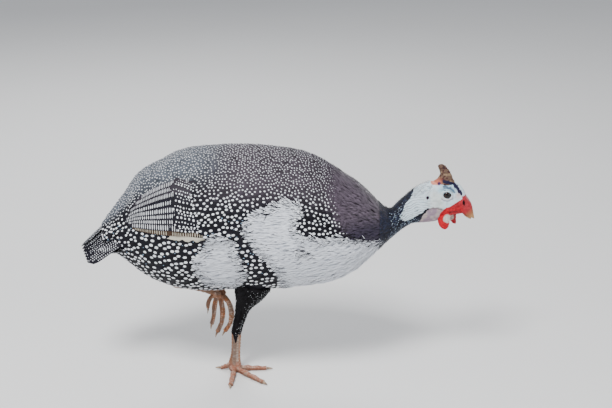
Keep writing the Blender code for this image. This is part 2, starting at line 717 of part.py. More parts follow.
def toe_path_on_floor(heading, length, half_width, rise):
    """A standing toe: it slopes from the ball of the foot to the floor, thicker at its joints."""
    way = Vector((math.cos(math.radians(heading)), math.sin(math.radians(heading)), 0))
    stations = []
    for k in range(7):
        share = k / 6
        swell = 1 + 0.10 * math.cos(share * 6 * math.pi)
        half_height = (TOE_HEIGHT * (1 - 0.42 * share)) / 2 * swell
        middle = FOOT_MIDDLE + way * (TOE_ROOT + (length - TOE_ROOT) * share)
        width = half_width * (1 - 0.22 * share) * swell * (TOE_NECK if k < 2 else 1)
        middle.z = half_height * 0.86 + rise * (1 - share)
        stations.append((way, middle, half_height, width))
    return stations


def floor_toe(stations, around=10):
    rings = []
    for way, middle, half_height, half_width in stations:
        across = Vector((-way.y, way.x, 0))
        ring = []
        for m in range(around):
            angle = 2 * math.pi * m / around
            point = middle + across * half_width * math.cos(angle)
            point.z = max(point.z + half_height * math.sin(angle), 0.0)
            ring.append(point)
        rings.append(ring)
    return loft(rings)


def claw(root, way, half_width, half_height, drop, flat=None):
    """A curved claw from the end of a toe. way is the toe's direction, and drop bends its tip down."""
    across = Vector((0, 0, 1)).cross(way)
    across = across.normalized() if across.length > 0.2 else Vector((0, 1, 0))
    up = way.cross(across).normalized()
    rings = []
    for k in range(5):
        share = k / 4
        size = (1 - share) ** 0.7 * 0.92 + 0.06
        rise = half_height * 0.25 * share - drop * share * share
        middle = root + way * (GAP + CLAW_LENGTH * share) + up * rise
        ring = []
        for m in range(8):
            angle = 2 * math.pi * m / 8
            point = middle + across * half_width * size * math.cos(angle)
            point += up * half_height * size * math.sin(angle)
            if flat is not None:
                point.z = max(point.z, flat)
            ring.append(point)
        rings.append(ring)
    return loft(rings)


def standing_leg(torso_cutter):
    thigh = tube(THIGH_RIGHT, 18, 2)
    ball = tube(SHANK_RIGHT, 14, 2, grow=GAP, scutes=SCUTES_RIGHT)
    node("thigh_right", cut(thigh, [torso_cutter, ball.copy()]), "plumage")
    node("shank_right", tube(SHANK_RIGHT, 14, 2, flat=0.0, scutes=SCUTES_RIGHT), "leg")
    for name, (heading, length, half_width, rise) in STANDING_TOES.items():
        stations = toe_path_on_floor(heading, length, half_width, rise)
        node(f"toe_{name}_right", cut(floor_toe(stations), [ball.copy()]), "leg")
        way, middle, half_height, width = stations[-1]
        made = claw(middle, way, width * 0.62, half_height * 0.66, 0.0016, flat=0.0)
        node(f"claw_{name}_right", made, "claw")


def raised_leg(torso_cutter):
    shank_cutter = tube(SHANK_LEFT, 14, 2, grow=GAP, scutes=SCUTES_LEFT)
    thigh = tube(THIGH_LEFT, 18, 2)
    node("thigh_left", cut(thigh, [torso_cutter, shank_cutter.copy()]), "plumage")
    node("shank_left", tube(SHANK_LEFT, 14, 2, scutes=SCUTES_LEFT), "leg")
    for name, (path, half_width) in HANGING_TOES.items():
        last = len(path) - 1
        stations = []
        for k, point in enumerate(path):
            share = k / last
            half_depth = half_width * (1.02 - 0.30 * share) * (1 + 0.08 * (-1) ** k)
            stations.append((*point, half_depth, half_width * (0.98 - 0.28 * share)))
        node(f"toe_{name}_left", cut(tube(stations, 10, 2), [shank_cutter.copy()]), "leg")
        end = Vector(path[-1])
        way = (end - Vector(between(stations, last - 0.5)[:3])).normalized()
        node(f"claw_{name}_left", claw(end, way, half_width * 0.42, half_width * 0.46, 0.0018), "claw")


def main():
    clear_scene()
    collection("guinea_fowl")
    torso_cutter = body_length(0, NECK_STARTS, 26, 28, GAP)
    torso()
    neck()
    head()
    eyes()
    bill()
    casque()
    wattles()
    wings(torso_cutter)
    tail(torso_cutter.copy())
    standing_leg(torso_cutter.copy())
    raised_leg(torso_cutter.copy())


main()
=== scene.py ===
import math

import bpy
import numpy as np
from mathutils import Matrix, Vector
from mathutils.bvhtree import BVHTree


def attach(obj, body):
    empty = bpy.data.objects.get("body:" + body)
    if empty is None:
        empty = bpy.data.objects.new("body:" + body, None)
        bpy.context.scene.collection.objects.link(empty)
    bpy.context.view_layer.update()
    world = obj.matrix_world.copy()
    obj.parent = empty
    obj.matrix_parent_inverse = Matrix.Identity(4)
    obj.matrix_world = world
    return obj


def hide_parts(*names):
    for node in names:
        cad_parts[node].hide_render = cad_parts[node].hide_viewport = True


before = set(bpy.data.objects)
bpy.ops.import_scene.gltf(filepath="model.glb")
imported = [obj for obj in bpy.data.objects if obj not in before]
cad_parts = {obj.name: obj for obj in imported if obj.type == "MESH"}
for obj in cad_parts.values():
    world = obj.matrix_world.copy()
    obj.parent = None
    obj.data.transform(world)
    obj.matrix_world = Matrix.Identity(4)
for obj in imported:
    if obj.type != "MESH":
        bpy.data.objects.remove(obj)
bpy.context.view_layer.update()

MM = 0.001
rng = np.random.default_rng(7)

# The view of the photograph: from the bird's right, a little from above.
VIEW_TARGET = (0.0387, 0.0, 0.2463)
VIEW_DISTANCE = 1.7205
VIEW_ELEVATION = math.radians(18.7)
LENS = 76.47

# Colours, linear.
INK = (0.0050, 0.0045, 0.0085)
BACK_GREY = (0.060, 0.049, 0.062)
RUMP_GREY = (0.105, 0.120, 0.145)
PEARL = (0.86, 0.88, 0.92)
SNOW = (0.80, 0.83, 0.89)
COLLAR = (0.085, 0.064, 0.088)
COLLAR_LOW = (0.022, 0.015, 0.036)
NECK_BLACK = (0.0045, 0.005, 0.010)
CREAM = (0.62, 0.58, 0.48)
BROWN = (0.050, 0.028, 0.016)
SKIN_WHITE = (0.60, 0.70, 0.76)
FLECK_BLUE = (0.30, 0.44, 0.58)
NECK_BLUE = (0.018, 0.026, 0.062)
NECK_FLECK = (0.42, 0.52, 0.64)
THIGH_BLACK = (0.0055, 0.005, 0.006)
SHANK_BLACK = (0.006, 0.005, 0.007)
HAIR_GREY = (0.16, 0.16, 0.18)

# Regions of the plumage as outlines of (x in mm, degrees down from the back).
WHITE_BREAST = ((11, 57), (-9, 64), (-31, 71), (-37, 76), (-41, 87), (-33, 96), (-25, 106), (-12, 118),
                (3, 133), (12, 181), (128, 181), (150, 150), (142, 138), (117, 108), (96, 96), (76, 91),
                (54, 95), (36, 95), (27, 87), (20, 80), (18, 73), (25, 69), (21, 61))
DOTTED_CAPE = ((17, 84), (21, 75), (30, 75), (36, 82), (54, 79), (76, 78), (83, 89), (59, 96), (37, 96),
               (26, 92))
DOTTED_SPOT = ((25, 108), (30, 106), (36, 110), (35, 116), (27, 117))
WHITE_FLANK = ((-89, 92), (-73, 93), (-60, 99), (-58, 112), (-52, 124), (-48, 135), (-56, 152), (-94, 150),
               (-104, 134), (-106, 120), (-93, 108), (-88, 101))
WING_TIERS = ((-100, 36), (-126, 33), (-150, 33), (-176, 40), (-192, 48), (-202, 58), (-200, 70), (-190, 82),
              (-172, 88), (-152, 90), (-120, 97), (-88, 99), (-92, 90), (-98, 80), (-104, 66), (-108, 50),
              (-108, 42))
# Where the plain collar begins, as (x in mm, degrees from the back).
COLLAR_EDGE = ((35, 77), (57, 80), (75, 89), (92, 98), (107, 117))


def cad_faces(names):
    """The points of these CAD nodes, and the faces over them, as one list."""
    points, faces = [], []
    for name in names:
        mesh = bpy.data.objects[name].data
        start = len(points)
        points += [v.co[:] for v in mesh.vertices]
        faces += [[start + i for i in p.vertices] for p in mesh.polygons]
    return points, faces


def cad_tree(*names):
    """One search tree over the meshes of these CAD nodes."""
    return BVHTree.FromPolygons(*cad_faces(names))


def new_object(name, data):
    obj = bpy.data.objects.new(name, data)
    bpy.context.scene.collection.objects.link(obj)
    return obj


def plain(colour, n):
    """The same colour n times."""
    return np.tile(colour, (n, 1))


def mixed(a, b, share):
    """Colour a where share is 0, colour b where it is 1."""
    share = np.asarray(share)[..., None]
    return np.asarray(a) * (1 - share) + np.asarray(b) * share


def layered(tint, *layers):
    """The tint under layers of (colour, share), each over the ones before."""
    for colour, share in layers:
        tint = mixed(tint, colour, share)
    return tint


def varied(tint, amount):
    """Each tint a little lighter or darker, by a draw of its own."""
    return np.clip(tint * (1 + amount * rng.normal(0, 1, (len(tint), 1))), 0, 1)


def ramp(value, start, end):
    """0 before start, 1 past end, smooth between."""
    t = np.clip((np.asarray(value, float) - start) / (end - start), 0, 1)
    return t * t * (3 - 2 * t)


def band(value, start, full, fading, end):
    """0 before start, 1 from full to fading, 0 past end, smooth between."""
    return ramp(value, start, full) * (1 - ramp(value, fading, end))


def glow(distance, width):
    """1 at no distance, fading away over about this width."""
    return np.exp(-(distance / width) ** 2)


def inside(outline, x, y):
    """Which of the points (x, y) lie inside the closed outline."""
    found = np.zeros(np.shape(x), bool)
    for (x0, y0), (x1, y1) in zip(outline, outline[1:] + outline[:1]):
        crosses = (y0 > y) != (y1 > y)
        with np.errstate(divide="ignore", invalid="ignore"):
            found ^= crosses & (x < (x1 - x0) * (y - y0) / ((y1 - y0) or 1e-9) + x0)
    return found


class Hide:
    """A surface read from the frame: distances from a centre line, by place along it and angle around it.

    Angles are in degrees from `up`, positive towards `side`. Feathers lie towards `flow` along the line."""

    def __init__(self, tree, stations, centres, up, side, flow, smooth=1, degrees=3):
        self.stations = np.asarray(stations, float)
        self.centres = np.asarray(centres, float)
        self.flow = flow
        self.turns = np.arange(-180, 181, degrees).astype(float)
        rays = np.radians(self.turns)
        self.rays = np.cos(rays)[:, None] * np.asarray(up) + np.sin(rays)[:, None] * np.asarray(side)
        reach = 0.30
        radii = np.full((len(stations), len(self.turns)), np.nan)
        for i, centre in enumerate(self.centres):
            for j, ray in enumerate(self.rays):
                hit = tree.ray_cast(Vector(centre + ray * reach), Vector(-ray), reach)
                if hit[0] is not None:
                    radii[i, j] = reach - hit[3]
        for j in range(len(self.turns)):
            known = ~np.isnan(radii[:, j])
            radii[:, j] = (np.interp(self.stations, self.stations[known], radii[known, j])
                           if known.any() else 0.001)
        for _ in range(smooth):
            radii[1:-1] = (radii[:-2] + 2 * radii[1:-1] + radii[2:]) / 4
            ring = np.concatenate([radii[:, -2:-1], radii, radii[:, 1:2]], axis=1)
            radii = (ring[:, :-2] + 2 * ring[:, 1:-1] + ring[:, 2:]) / 4
        self.points = self.centres[:, None] + radii[..., None] * self.rays
        along = np.gradient(self.points, self.stations, axis=0)
        around = np.gradient(self.points, self.turns, axis=1)
        around[:, 0] = around[:, -1] = (around[:, 0] + around[:, -1]) / 2
        self.per_station = np.linalg.norm(along, axis=2)
        self.per_degree = np.linalg.norm(around, axis=2)
        normals = np.cross(along, around)
        outward = np.sign((normals * self.rays).sum(axis=2))
        normals *= outward[..., None]
        self.normals = normals / np.linalg.norm(normals, axis=2)[..., None]

    def read(self, table, at, turn):
        """The table's values at these places, between its own."""
        i = np.interp(at, self.stations, np.arange(len(self.stations)))
        j = ((np.asarray(turn) + 180) % 360) / (self.turns[1] - self.turns[0])
        i0 = np.clip(i.astype(int), 0, len(self.stations) - 2)
        j0 = np.clip(j.astype(int), 0, len(self.turns) - 2)
        fi, fj = i - i0, j - j0
        if table.ndim == 3:
            fi, fj = fi[..., None], fj[..., None]
        low = table[i0, j0] * (1 - fj) + table[i0, j0 + 1] * fj
        high = table[i0 + 1, j0] * (1 - fj) + table[i0 + 1, j0 + 1] * fj
        return low * (1 - fi) + high * fi

    def point(self, at, turn, out):
        normal = self.read(self.normals, at, turn)
        normal /= np.linalg.norm(normal, axis=-1)[..., None]
        return self.read(self.points, at, turn) + normal * np.asarray(out)[..., None]

    def place(self, at, turn):
        """The place on an unwrap of the surface, between 0 and 1."""
        along = (np.asarray(at) - self.stations[0]) / (self.stations[-1] - self.stations[0])
        around = 0.02 + 0.96 * ((np.asarray(turn) + 180) % 360) / 360
        return np.stack([0.02 + 0.96 * np.clip(along, 0, 1), around], axis=-1)


def body_hide(names, first, last, step=2 * MM, smooth=2):
    """The bird's body about a level centre line; the stations are x, in metres."""
    tree = cad_tree(*names)
    stations, centres = [], []
    for x in np.arange(first, last, step):
        top = tree.ray_cast(Vector((x, 0, 0.5)), Vector((0, 0, -1)))[0]
        low = tree.ray_cast(Vector((x, 0, -0.1)), Vector((0, 0, 1)))[0]
        if top is not None and low is not None:
            stations.append(x)
            centres.append((x, 0, (top.z + low.z) / 2))
    centres = np.array(centres)
    for _ in range(6):
        centres[1:-1, 2] = (centres[:-2, 2] + 2 * centres[1:-1, 2] + centres[2:, 2]) / 4
    return Hide(tree, stations, centres, (0, 0, 1), (0, -1, 0), -1, smooth)


def limb_hide(name, start, end, step=2 * MM):
    """A limb about a straight line; the stations are metres from start."""
    start, end = np.array(start), np.array(end)
    axis = (end - start) / np.linalg.norm(end - start)
    side = np.cross(axis, (0, 1, 0))
    side /= np.linalg.norm(side)
    up = np.cross(side, axis)
    stations = np.arange(0, np.linalg.norm(end - start), step)
    return Hide(cad_tree(name), stations, start + stations[:, None] * axis, up, side, 1, 1, 10)


def finished(obj, material, slot, *nodes):
    """Gives a new piece its material and its body, and hides the CAD nodes that it stands for; slot is not
    used.
    """
    obj.data.materials.clear()
    obj.data.materials.append(material)
    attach(obj, "root")
    if nodes:
        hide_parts(*nodes)
    return obj


def paint(mesh, tint):
    colour = mesh.attributes.new("tint", "FLOAT_COLOR", "POINT")
    colour.data.foreach_set("color", np.concatenate([tint, np.ones((len(tint), 1))], axis=1).ravel())


class Coat:
    """Many closed tufts gathered as arrays and made into one piece."""

    PATCH = 0.0015

    def __init__(self):
        self.points, self.corners, self.sizes = [], [], []
        self.places, self.tints, self.vanes = [], [], []
        self.count = 0

    def add(self, points, faces, place, local, tint):
        """points (n, k, 3) with faces over each k; place (n, 2); local (k, 2) in -1..1; tint (n, 3)."""
        n, k = points.shape[:2]
        starts = self.count + np.arange(n) * k
        own = np.repeat(rng.random(n), k)[:, None]
        self.points.append(points.reshape(-1, 3))
        self.corners.append((starts[:, None, None] + faces[None]).reshape(-1))
        self.sizes.append(np.full(n * len(faces), faces.shape[1]))
        self.places.append((place[:, None] + self.PATCH * local[None]).reshape(-1, 2))
        self.tints.append(np.repeat(tint, k, axis=0))
        self.vanes.append(np.concatenate([np.tile(local, (n, 1)), own], axis=1))
        self.count += n * k

    def piece(self, name, material, slot, sharp=50):
        """Makes the piece; edges sharper than `sharp` degrees stay crisp."""
        points = np.concatenate(self.points).astype(np.float32)
        corners = np.concatenate(self.corners).astype(np.int32)
        ends = np.cumsum(np.concatenate(self.sizes))
        mesh = bpy.data.meshes.new(name)
        mesh.vertices.add(len(points))
        mesh.vertices.foreach_set("co", points.ravel())
        mesh.loops.add(len(corners))
        mesh.loops.foreach_set("vertex_index", corners)
        mesh.polygons.add(len(ends))
        mesh.polygons.foreach_set("loop_start", np.concatenate([[0], ends[:-1]]).astype(np.int32))
        mesh.update(calc_edges=True)
        places = np.concatenate(self.places)[corners]
        mesh.uv_layers.new(name="OFBake").data.foreach_set("uv", places.ravel())
        paint(mesh, np.concatenate(self.tints))
        vane = mesh.attributes.new("vane", "FLOAT_VECTOR", "POINT")
        vane.data.foreach_set("vector", np.concatenate(self.vanes).ravel())
        mesh.shade_smooth()
        mesh.set_sharp_from_angle(angle=math.radians(sharp))
        return finished(new_object(name, mesh), material, slot)


def vane_template(rows, across):
    """Faces of a closed thin vane, and its points as (row, column, underside)."""
    grid = [(r, c, 0) for r in range(rows) for c in range(across)]
    index = {key: i for i, key in enumerate(grid)}
    for r in range(1, rows - 1):
        for c in range(1, across - 1):
            index[(r, c, 1)] = len(index)
            grid.append((r, c, 1))
    faces = []
    for r in range(rows - 1):
        for c in range(across - 1):
            square = [(r, c), (r, c + 1), (r + 1, c + 1), (r + 1, c)]
            faces.append([index[(a, b, 0)] for a, b in square])
            faces.append([index.get((a, b, 1), index[(a, b, 0)]) for a, b in reversed(square)])
    return np.array(faces), grid


def profile(v, widest, root=0.35, tip=0.12):
    """Half width of a feather along its length, 1 at the widest."""
    v = np.asarray(v, float)
    before = root + (1 - root) * np.sin(np.clip(v / widest, 0, 1) * math.pi / 2)
    after = np.sqrt(np.clip(1 - ((v - widest) / (1 - widest + 1e-9)) ** 2, 0, 1)) * (1 - tip) + tip
    return np.where(v < widest, before, after)


FEATHER_ROWS = (0.0, 0.35, 0.6, 0.78, 0.91, 1.0)
HAIR_ROWS = (0.0, 0.3, 0.6, 0.85, 1.0)


class Vanes:
    """Feathers held as arrays, with one entry for each feather."""

    def picked(self, chosen):
        """The chosen feathers alone, by a mask or by their numbers, which may repeat."""
        part = object.__new__(type(self))
        part.__dict__.update({k: v[chosen] if isinstance(v, np.ndarray) else v
                              for k, v in self.__dict__.items()})
        return part


class Lie(Vanes):
    """Feathers laid on a hide: each one's middle line is walked once from its root."""

    STEPS = 10
    CUP = 0.12

    def __init__(self, hide, at, turn, length, half_width, swing, low, high, bend=1.6):
        self.hide, self.length, self.half_width = hide, length, half_width
        self.low, self.high, self.bend = low, high, bend
        self.swing = np.radians(swing)
        self.side = np.where(np.asarray(turn) < 0, -1.0, 1.0)
        x, t = np.array(at, float), np.array(turn, float)
        xs, ts = [x], [t]
        stride = length / self.STEPS
        for _ in range(self.STEPS):
            ahead = hide.flow * np.cos(self.swing) * stride / self.per_station(x, t)
            aside = self.side * np.sin(self.swing) * stride / self.per_degree(x, t)
            x, t = x + ahead, t + aside
            xs.append(x)
            ts.append(t)
        self.xs, self.ts = np.array(xs).T, np.array(ts).T

    def per_station(self, x, t):
        return np.maximum(self.hide.read(self.hide.per_station, x, t), 0.3)

    def per_degree(self, x, t):
        return np.maximum(self.hide.read(self.hide.per_degree, x, t), 2e-5)

    def point(self, along, across, lift=0.0):
        """along 0..1 and across in half widths, each (n, k); lift in metres."""
        n = np.arange(len(self.xs))[:, None]
        f = np.clip(along, 0, 1) * self.STEPS
        i = np.clip(f.astype(int), 0, self.STEPS - 1)
        f = f - i
        x = self.xs[n, i] * (1 - f) + self.xs[n, i + 1] * f
        t = self.ts[n, i] * (1 - f) + self.ts[n, i + 1] * f
        aside = across * self.half_width[:, None]
        x = x - self.hide.flow * np.sin(self.swing)[:, None] * aside / self.per_station(x, t)
        t = t + self.side[:, None] * np.cos(self.swing)[:, None] * aside / self.per_degree(x, t)
        rise = np.clip(along, 0, 1) ** (1 / self.bend)
        out = self.low[:, None] + (self.high - self.low)[:, None] * rise
        out = out - self.CUP * np.abs(across) ** 2 * self.half_width[:, None] + lift
        return self.hide.point(x, t, out)

    def places(self):
        """The places on the unwrap, read where the tips lie."""
        return self.hide.place(self.xs[:, -1], self.ts[:, -1])


def add_vanes(coat, lie, tint, rows=FEATHER_ROWS, across=5, widest=0.62, tip=0.12, thick=0.25 * MM,
              ragged=0.0):
    """Closed vanes along the lie, each of one tint."""
    faces, grid = vane_template(len(rows), across)
    v = np.array([rows[r] for r, _, _ in grid])
    u = np.array([2 * c / (across - 1) - 1 for _, c, _ in grid])
    under = np.array([side for _, _, side in grid], float)
    n = len(lie.length)
    shape = profile(v, widest, tip=tip)
    along = np.tile(v, (n, 1))
    if ragged:
        along = along + ragged * (rng.random((n, 1)) - 0.5) * u[None] * (v > 0.7) * shape
    points = lie.point(along, u[None] * shape[None] * np.ones((n, 1)), -thick * under[None])
    coat.add(points, faces, lie.places(), np.stack([u, 2 * v - 1], axis=1), tint)


def add_pearls(coat, lie, along, across, half_long, half_wide, tint, sides=8):
    """One small domed spot on each vane; half_long and half_wide are metres."""
    height = 0.22 * MM
    ring = np.arange(sides) * 2 * math.pi / sides
    u = np.concatenate([np.sin(ring), 0.55 * np.sin(ring + 0.4), [0, 0]])
    v = np.concatenate([np.cos(ring), 0.55 * np.cos(ring + 0.4), [0, 0]])
    out = np.concatenate([np.zeros(sides), np.full(sides, height * 0.7), [height, -height * 0.5]])
    top, foot = 2 * sides, 2 * sides + 1
    faces = []
    for i in range(sides):
        j = (i + 1) % sides
        faces += [(i, j, sides + j), (i, sides + j, sides + i), (sides + i, sides + j, top), (j, i, foot)]
    n = len(lie.length)
    along = along[:, None] + v[None] * (half_long / lie.length)[:, None]
    across = across[:, None] + u[None] * (half_wide / lie.half_width)[:, None]
    points = lie.point(along, across, 0.12 * MM + out[None] * np.ones((n, 1)))
    coat.add(points, np.array(faces)[:, ::-1], lie.places(), np.stack([u, v], axis=1), tint)


def scattered(hide, spacing, wanted, tries, first=None, last=None):
    """Places on the hide, evenly but not in a grid; spacing is metres, or gives them for (at, turn)."""
    first = hide.stations[0] if first is None else first
    last = hide.stations[-1] if last is None else last
    at = rng.uniform(first, last, tries)
    turn = rng.uniform(-180, 180, tries)
    gap = spacing(at, turn) if callable(spacing) else np.full(tries, spacing)
    weight = hide.read(hide.per_degree, at, turn) * hide.read(hide.per_station, at, turn) / gap ** 2
    keep = (rng.random(tries) < weight / np.quantile(weight, 0.97)) & wanted(at, turn)
    at, turn, gap = at[keep], turn[keep], gap[keep]
    points = hide.read(hide.points, at, turn)
    size = gap.max()
    cells, taken = {}, []
    keys = np.floor(points / size).astype(int)
    for i in range(len(at)):
        key = tuple(keys[i])
        near = [k for dx in (-1, 0, 1) for dy in (-1, 0, 1) for dz in (-1, 0, 1)
                for k in cells.get((key[0] + dx, key[1] + dy, key[2] + dz), ())]
        if near and (((points[near] - points[i]) ** 2).sum(axis=1) < (0.9 * gap[i]) ** 2).any():
            continue
        cells.setdefault(key, []).append(i)
        taken.append(i)
    return at[taken], turn[taken], gap[taken]


def collar_line(turn):
    """x in mm where the plain collar begins, by the angle from the back."""
    return np.interp(np.abs(turn), [a for a, _ in COLLAR_EDGE], [x for _, x in COLLAR_EDGE])


def white_at(at, turn, jitter=0.0):
    """Which places show white plumage."""
    x = at / MM + rng.normal(0, 1, np.shape(at)) * jitter
    a = np.abs(turn) + rng.normal(0, 1, np.shape(at)) * jitter
    white = inside(WHITE_BREAST, x, a) | inside(WHITE_FLANK, x, a)
    return white & ~inside(DOTTED_CAPE, x, a) & ~inside(DOTTED_SPOT, x, a)


def ground_tint(at, turn):
    """The plumage's ground colour between the pearls."""
    x, a = at / MM, np.abs(turn)
    back = (1 - ramp(a, 35, 70)) * ramp(x, -120, -40)
    tint = mixed(INK, BACK_GREY, back)
    rump = (1 - ramp(a, 22, 48)) * (1 - ramp(x, -110, -50))
    tint = mixed(tint, RUMP_GREY, rump * 0.8)
    return mixed(tint, COLLAR, ramp(x - collar_line(turn), -22, 0) * (1 - ramp(a, 60, 95)) * 0.8)


def even(low, high):
    """Draws sizes between two."""
    return lambda n: rng.uniform(low, high, n)


def about(middle, spread):
    """Draws sizes about a middle one."""
    return lambda n: rng.normal(middle, spread, n)


def always(size):
    """One size for all."""
    return lambda n: np.full(n, float(size))


class Tuft:
    """A kind of small feather, in mm and degrees.

    Its length, half width, swing off the lie, and the height of its root and tip over the hide are drawn for
    each.
    `ahead` is how far forward of its place it starts, as a share of its length."""

    def __init__(self, length, half_width, swing, low, high, ahead, widest, tip=0.05, thick=0.25, bend=1.6):
        self.sizes = (half_width, swing, low, high)
        self.length, self.ahead, self.bend = length, ahead, bend
        self.widest, self.tip, self.thick = widest, tip, thick

    def laid(self, hide, at, turn, share=1.0):
        """Such feathers at these places of the hide; share shortens them."""
        length = self.length(len(at)) * MM * share
        half_width, swing, low, high = [draw(len(at)) for draw in self.sizes]
        return Lie(hide, at + self.ahead * length, turn, length, half_width * MM, swing, low * MM, high * MM,
                   self.bend)

    def add(self, coat, lie, tint):
        add_vanes(coat, lie, tint, HAIR_ROWS, 3, self.widest, self.tip, self.thick * MM)


DOWN = Tuft(even(11, 18), even(0.6, 1.1), about(-4, 12), even(-3.5, -2.5), about(0.1, 0.5), 0.75, 0.45)
FRINGE = Tuft(even(8, 15), even(0.22, 0.42), about(-2, 22), even(-1.5, -0.5), about(0.9, 0.5), 0.8, 0.35,
              thick=0.12)
RUFF = Tuft(even(9, 14), even(0.9, 1.5), about(0, 10), even(-2.5, -1.5), about(0, 0.35), 0.7, 0.5)
THIGH = Tuft(even(7, 10), even(1.2, 1.7), about(0, 8), always(-1.8), about(0.1, 0.2), -0.6, 0.6, 0.1)
NECK = Tuft(even(3.5, 6), even(0.45, 0.75), about(0, 12), always(-0.6), about(0.45, 0.25), 0.4, 0.5, 0.06)
NAPE = Tuft(even(3.5, 7), always(0.16), about(0, 20), always(-0.3), even(0.8, 2.6), 0, 0.3, 0.05, 0.12, 0.9)
CROWN = Tuft(even(4, 9), always(0.10), about(0, 25), always(-0.3), even(0.8, 3.0), 0, 0.3, 0.05, 0.1, 0.9)


def new_material(name):
    """A material with its node tree and its shader."""
    material = bpy.data.materials.new(name)
    material.use_nodes = True
    return material, material.node_tree, material.node_tree.nodes["Principled BSDF"]


def new_node(tree, kind, values=None, links=None, operation=None):
    """A shader node with these input values, and these outputs of other nodes linked into its inputs."""
    node = tree.nodes.new("ShaderNode" + kind)
    if operation:
        node.operation = operation
    for socket, value in (values or {}).items():
        node.inputs[socket].default_value = value
    for socket, output in (links or {}).items():
        tree.links.new(output, node.inputs[socket])
    return node


def attribute_node(tree, name):
    node = tree.nodes.new("ShaderNodeAttribute")
    node.attribute_name = name
    return node


def link_noise(tree, shader, colour, scale, amount, bump):
    """Breaks a colour up with noise, and roughens the surface with it."""
    place = new_node(tree, "TexCoord")
    noise = new_node(tree, "TexNoise", {"Scale": scale, "Detail": 4}, {"Vector": place.outputs["Object"]})
    shade = new_node(tree, "MapRange", {"To Min": 1 - amount, "To Max": 1 + amount},
                     {"Value": noise.outputs["Fac"]})
    times = new_node(tree, "VectorMath", None, {0: colour, "Scale": shade.outputs["Result"]}, "SCALE")
    tree.links.new(times.outputs["Vector"], shader.inputs["Base Color"])
    raised = new_node(tree, "Bump", {"Strength": bump, "Distance": 0.3 * MM},
                      {"Height": noise.outputs["Fac"]})
    tree.links.new(raised.outputs["Normal"], shader.inputs["Normal"])
    return raised


def link_barbs(tree, shader, raised):
    """Adds the fine slanted lines of a feather's barbs to the bump."""
    parts = new_node(tree, "SeparateXYZ", None, {"Vector": attribute_node(tree, "vane").outputs["Vector"]})
    aside = new_node(tree, "Math", None, {0: parts.outputs["X"]}, "ABSOLUTE")
    slant = new_node(tree, "Math", {1: -0.5}, {0: aside.outputs["Value"], 2: parts.outputs["Y"]},
                     "MULTIPLY_ADD")
    beat = new_node(tree, "Math", {1: 60}, {0: slant.outputs["Value"]}, "MULTIPLY")
    wave = new_node(tree, "Math", None, {0: beat.outputs["Value"]}, "SINE")
    lines = new_node(tree, "Bump", {"Strength": 0.35, "Distance": 0.2 * MM},
                     {"Height": wave.outputs["Value"], "Normal": raised.outputs["Normal"]})
    tree.links.new(lines.outputs["Normal"], shader.inputs["Normal"])


def tinted_material(name, roughness, scale, amount, bump, sheen=0.0, barbs=False, soft=0.0, coat=0.0,
                    gloss=0.18):
    """Takes its colour from the piece's tint, broken up by noise; barbs adds the fine lines of a vane."""
    material, tree, shader = new_material(name)
    raised = link_noise(tree, shader, attribute_node(tree, "tint").outputs["Color"], scale, amount, bump)
    finish = {"Roughness": roughness, "Specular IOR Level": gloss, "Sheen Weight": sheen,
              "Subsurface Weight": soft, "Subsurface Radius": (1.2 * MM, 0.5 * MM, 0.4 * MM),
              "Subsurface Scale": 1.0, "Coat Weight": coat, "Coat Roughness": 0.03}
    for socket, value in finish.items():
        shader.inputs[socket].default_value = value
    if barbs:
        link_barbs(tree, shader, raised)
    return material


# The studio's lights: name, place in metres, watts and size in metres.
LIGHTS = (("key", (-0.5, -1.3, 2.1), 74, 0.7), ("fill", (1.7, -1.2, 0.9), 10, 1.2),
          ("rim", (-0.4, 1.5, 1.6), 22, 1.0))


def studio():
    """Pale floor, soft lights and the camera at the photograph's angle."""
    bpy.ops.mesh.primitive_plane_add(size=8, location=(0, 0, 0))
    floor = bpy.context.object
    floor.name = "floor"
    material, tree, shader = new_material("floor")
    pale = tree.nodes.new("ShaderNodeRGB")
    pale.outputs[0].default_value = (0.80, 0.80, 0.79, 1)
    link_noise(tree, shader, pale.outputs[0], 3, 0.02, 0.02)
    shader.inputs["Roughness"].default_value = 0.8
    floor.data.materials.append(material)

    world = bpy.context.scene.world or bpy.data.worlds.new("world")
    bpy.context.scene.world = world
    world.use_nodes = True
    sky = world.node_tree.nodes["Background"]
    sky.inputs["Color"].default_value = (0.90, 0.93, 1.0, 1)
    sky.inputs["Strength"].default_value = 0.50
    for name, where, power, size in LIGHTS:
        light = bpy.data.lights.new(name, "AREA")
        light.energy = power
        light.size = size
        obj = new_object(name, light)
        obj.location = where
        obj.rotation_euler = (Vector(VIEW_TARGET) - Vector(where)).to_track_quat("-Z", "Y").to_euler()

    camera = new_object("camera", bpy.data.cameras.new("camera"))
    camera.data.lens = LENS
    back = Vector((0, -math.cos(VIEW_ELEVATION), math.sin(VIEW_ELEVATION))) * VIEW_DISTANCE
    camera.location = Vector(VIEW_TARGET) + back
    camera.rotation_euler = (math.pi / 2 - VIEW_ELEVATION, 0, 0)
    bpy.context.scene.camera = camera


def over_wing(at, turn):
    """How much the feathers in front of the wing's rows rise over them, in metres."""
    return 1.5 * MM * band(at / MM, -112, -102, -96, -80) * band(np.abs(turn), 34, 44, 96, 104)


def pearl_gap(at, turn):
    """Metres between dotted feathers: close on the back and at the collar, wide on the sides."""
    x, a = at / MM, np.abs(turn)
    gap = 3.3 + 1.9 * ramp(a, 36, 62) + 1.8 * ramp(a, 70, 100)
    gap = gap - 1.6 * ramp(x, 30, 90) * ramp(a, 50, 90)
    gap = gap * (1 - 0.22 * (1 - ramp(x, -215, -150)) * ramp(a, 60, 90))
    return gap * MM


def dotted_at(at, turn):
    """Which places carry dotted feathers."""
    x = at / MM
    return (~white_at(at, turn, 0.8) & (x < collar_line(turn) + 4) & (x > -236)
            & ~inside(WING_TIERS, x, np.abs(turn)))


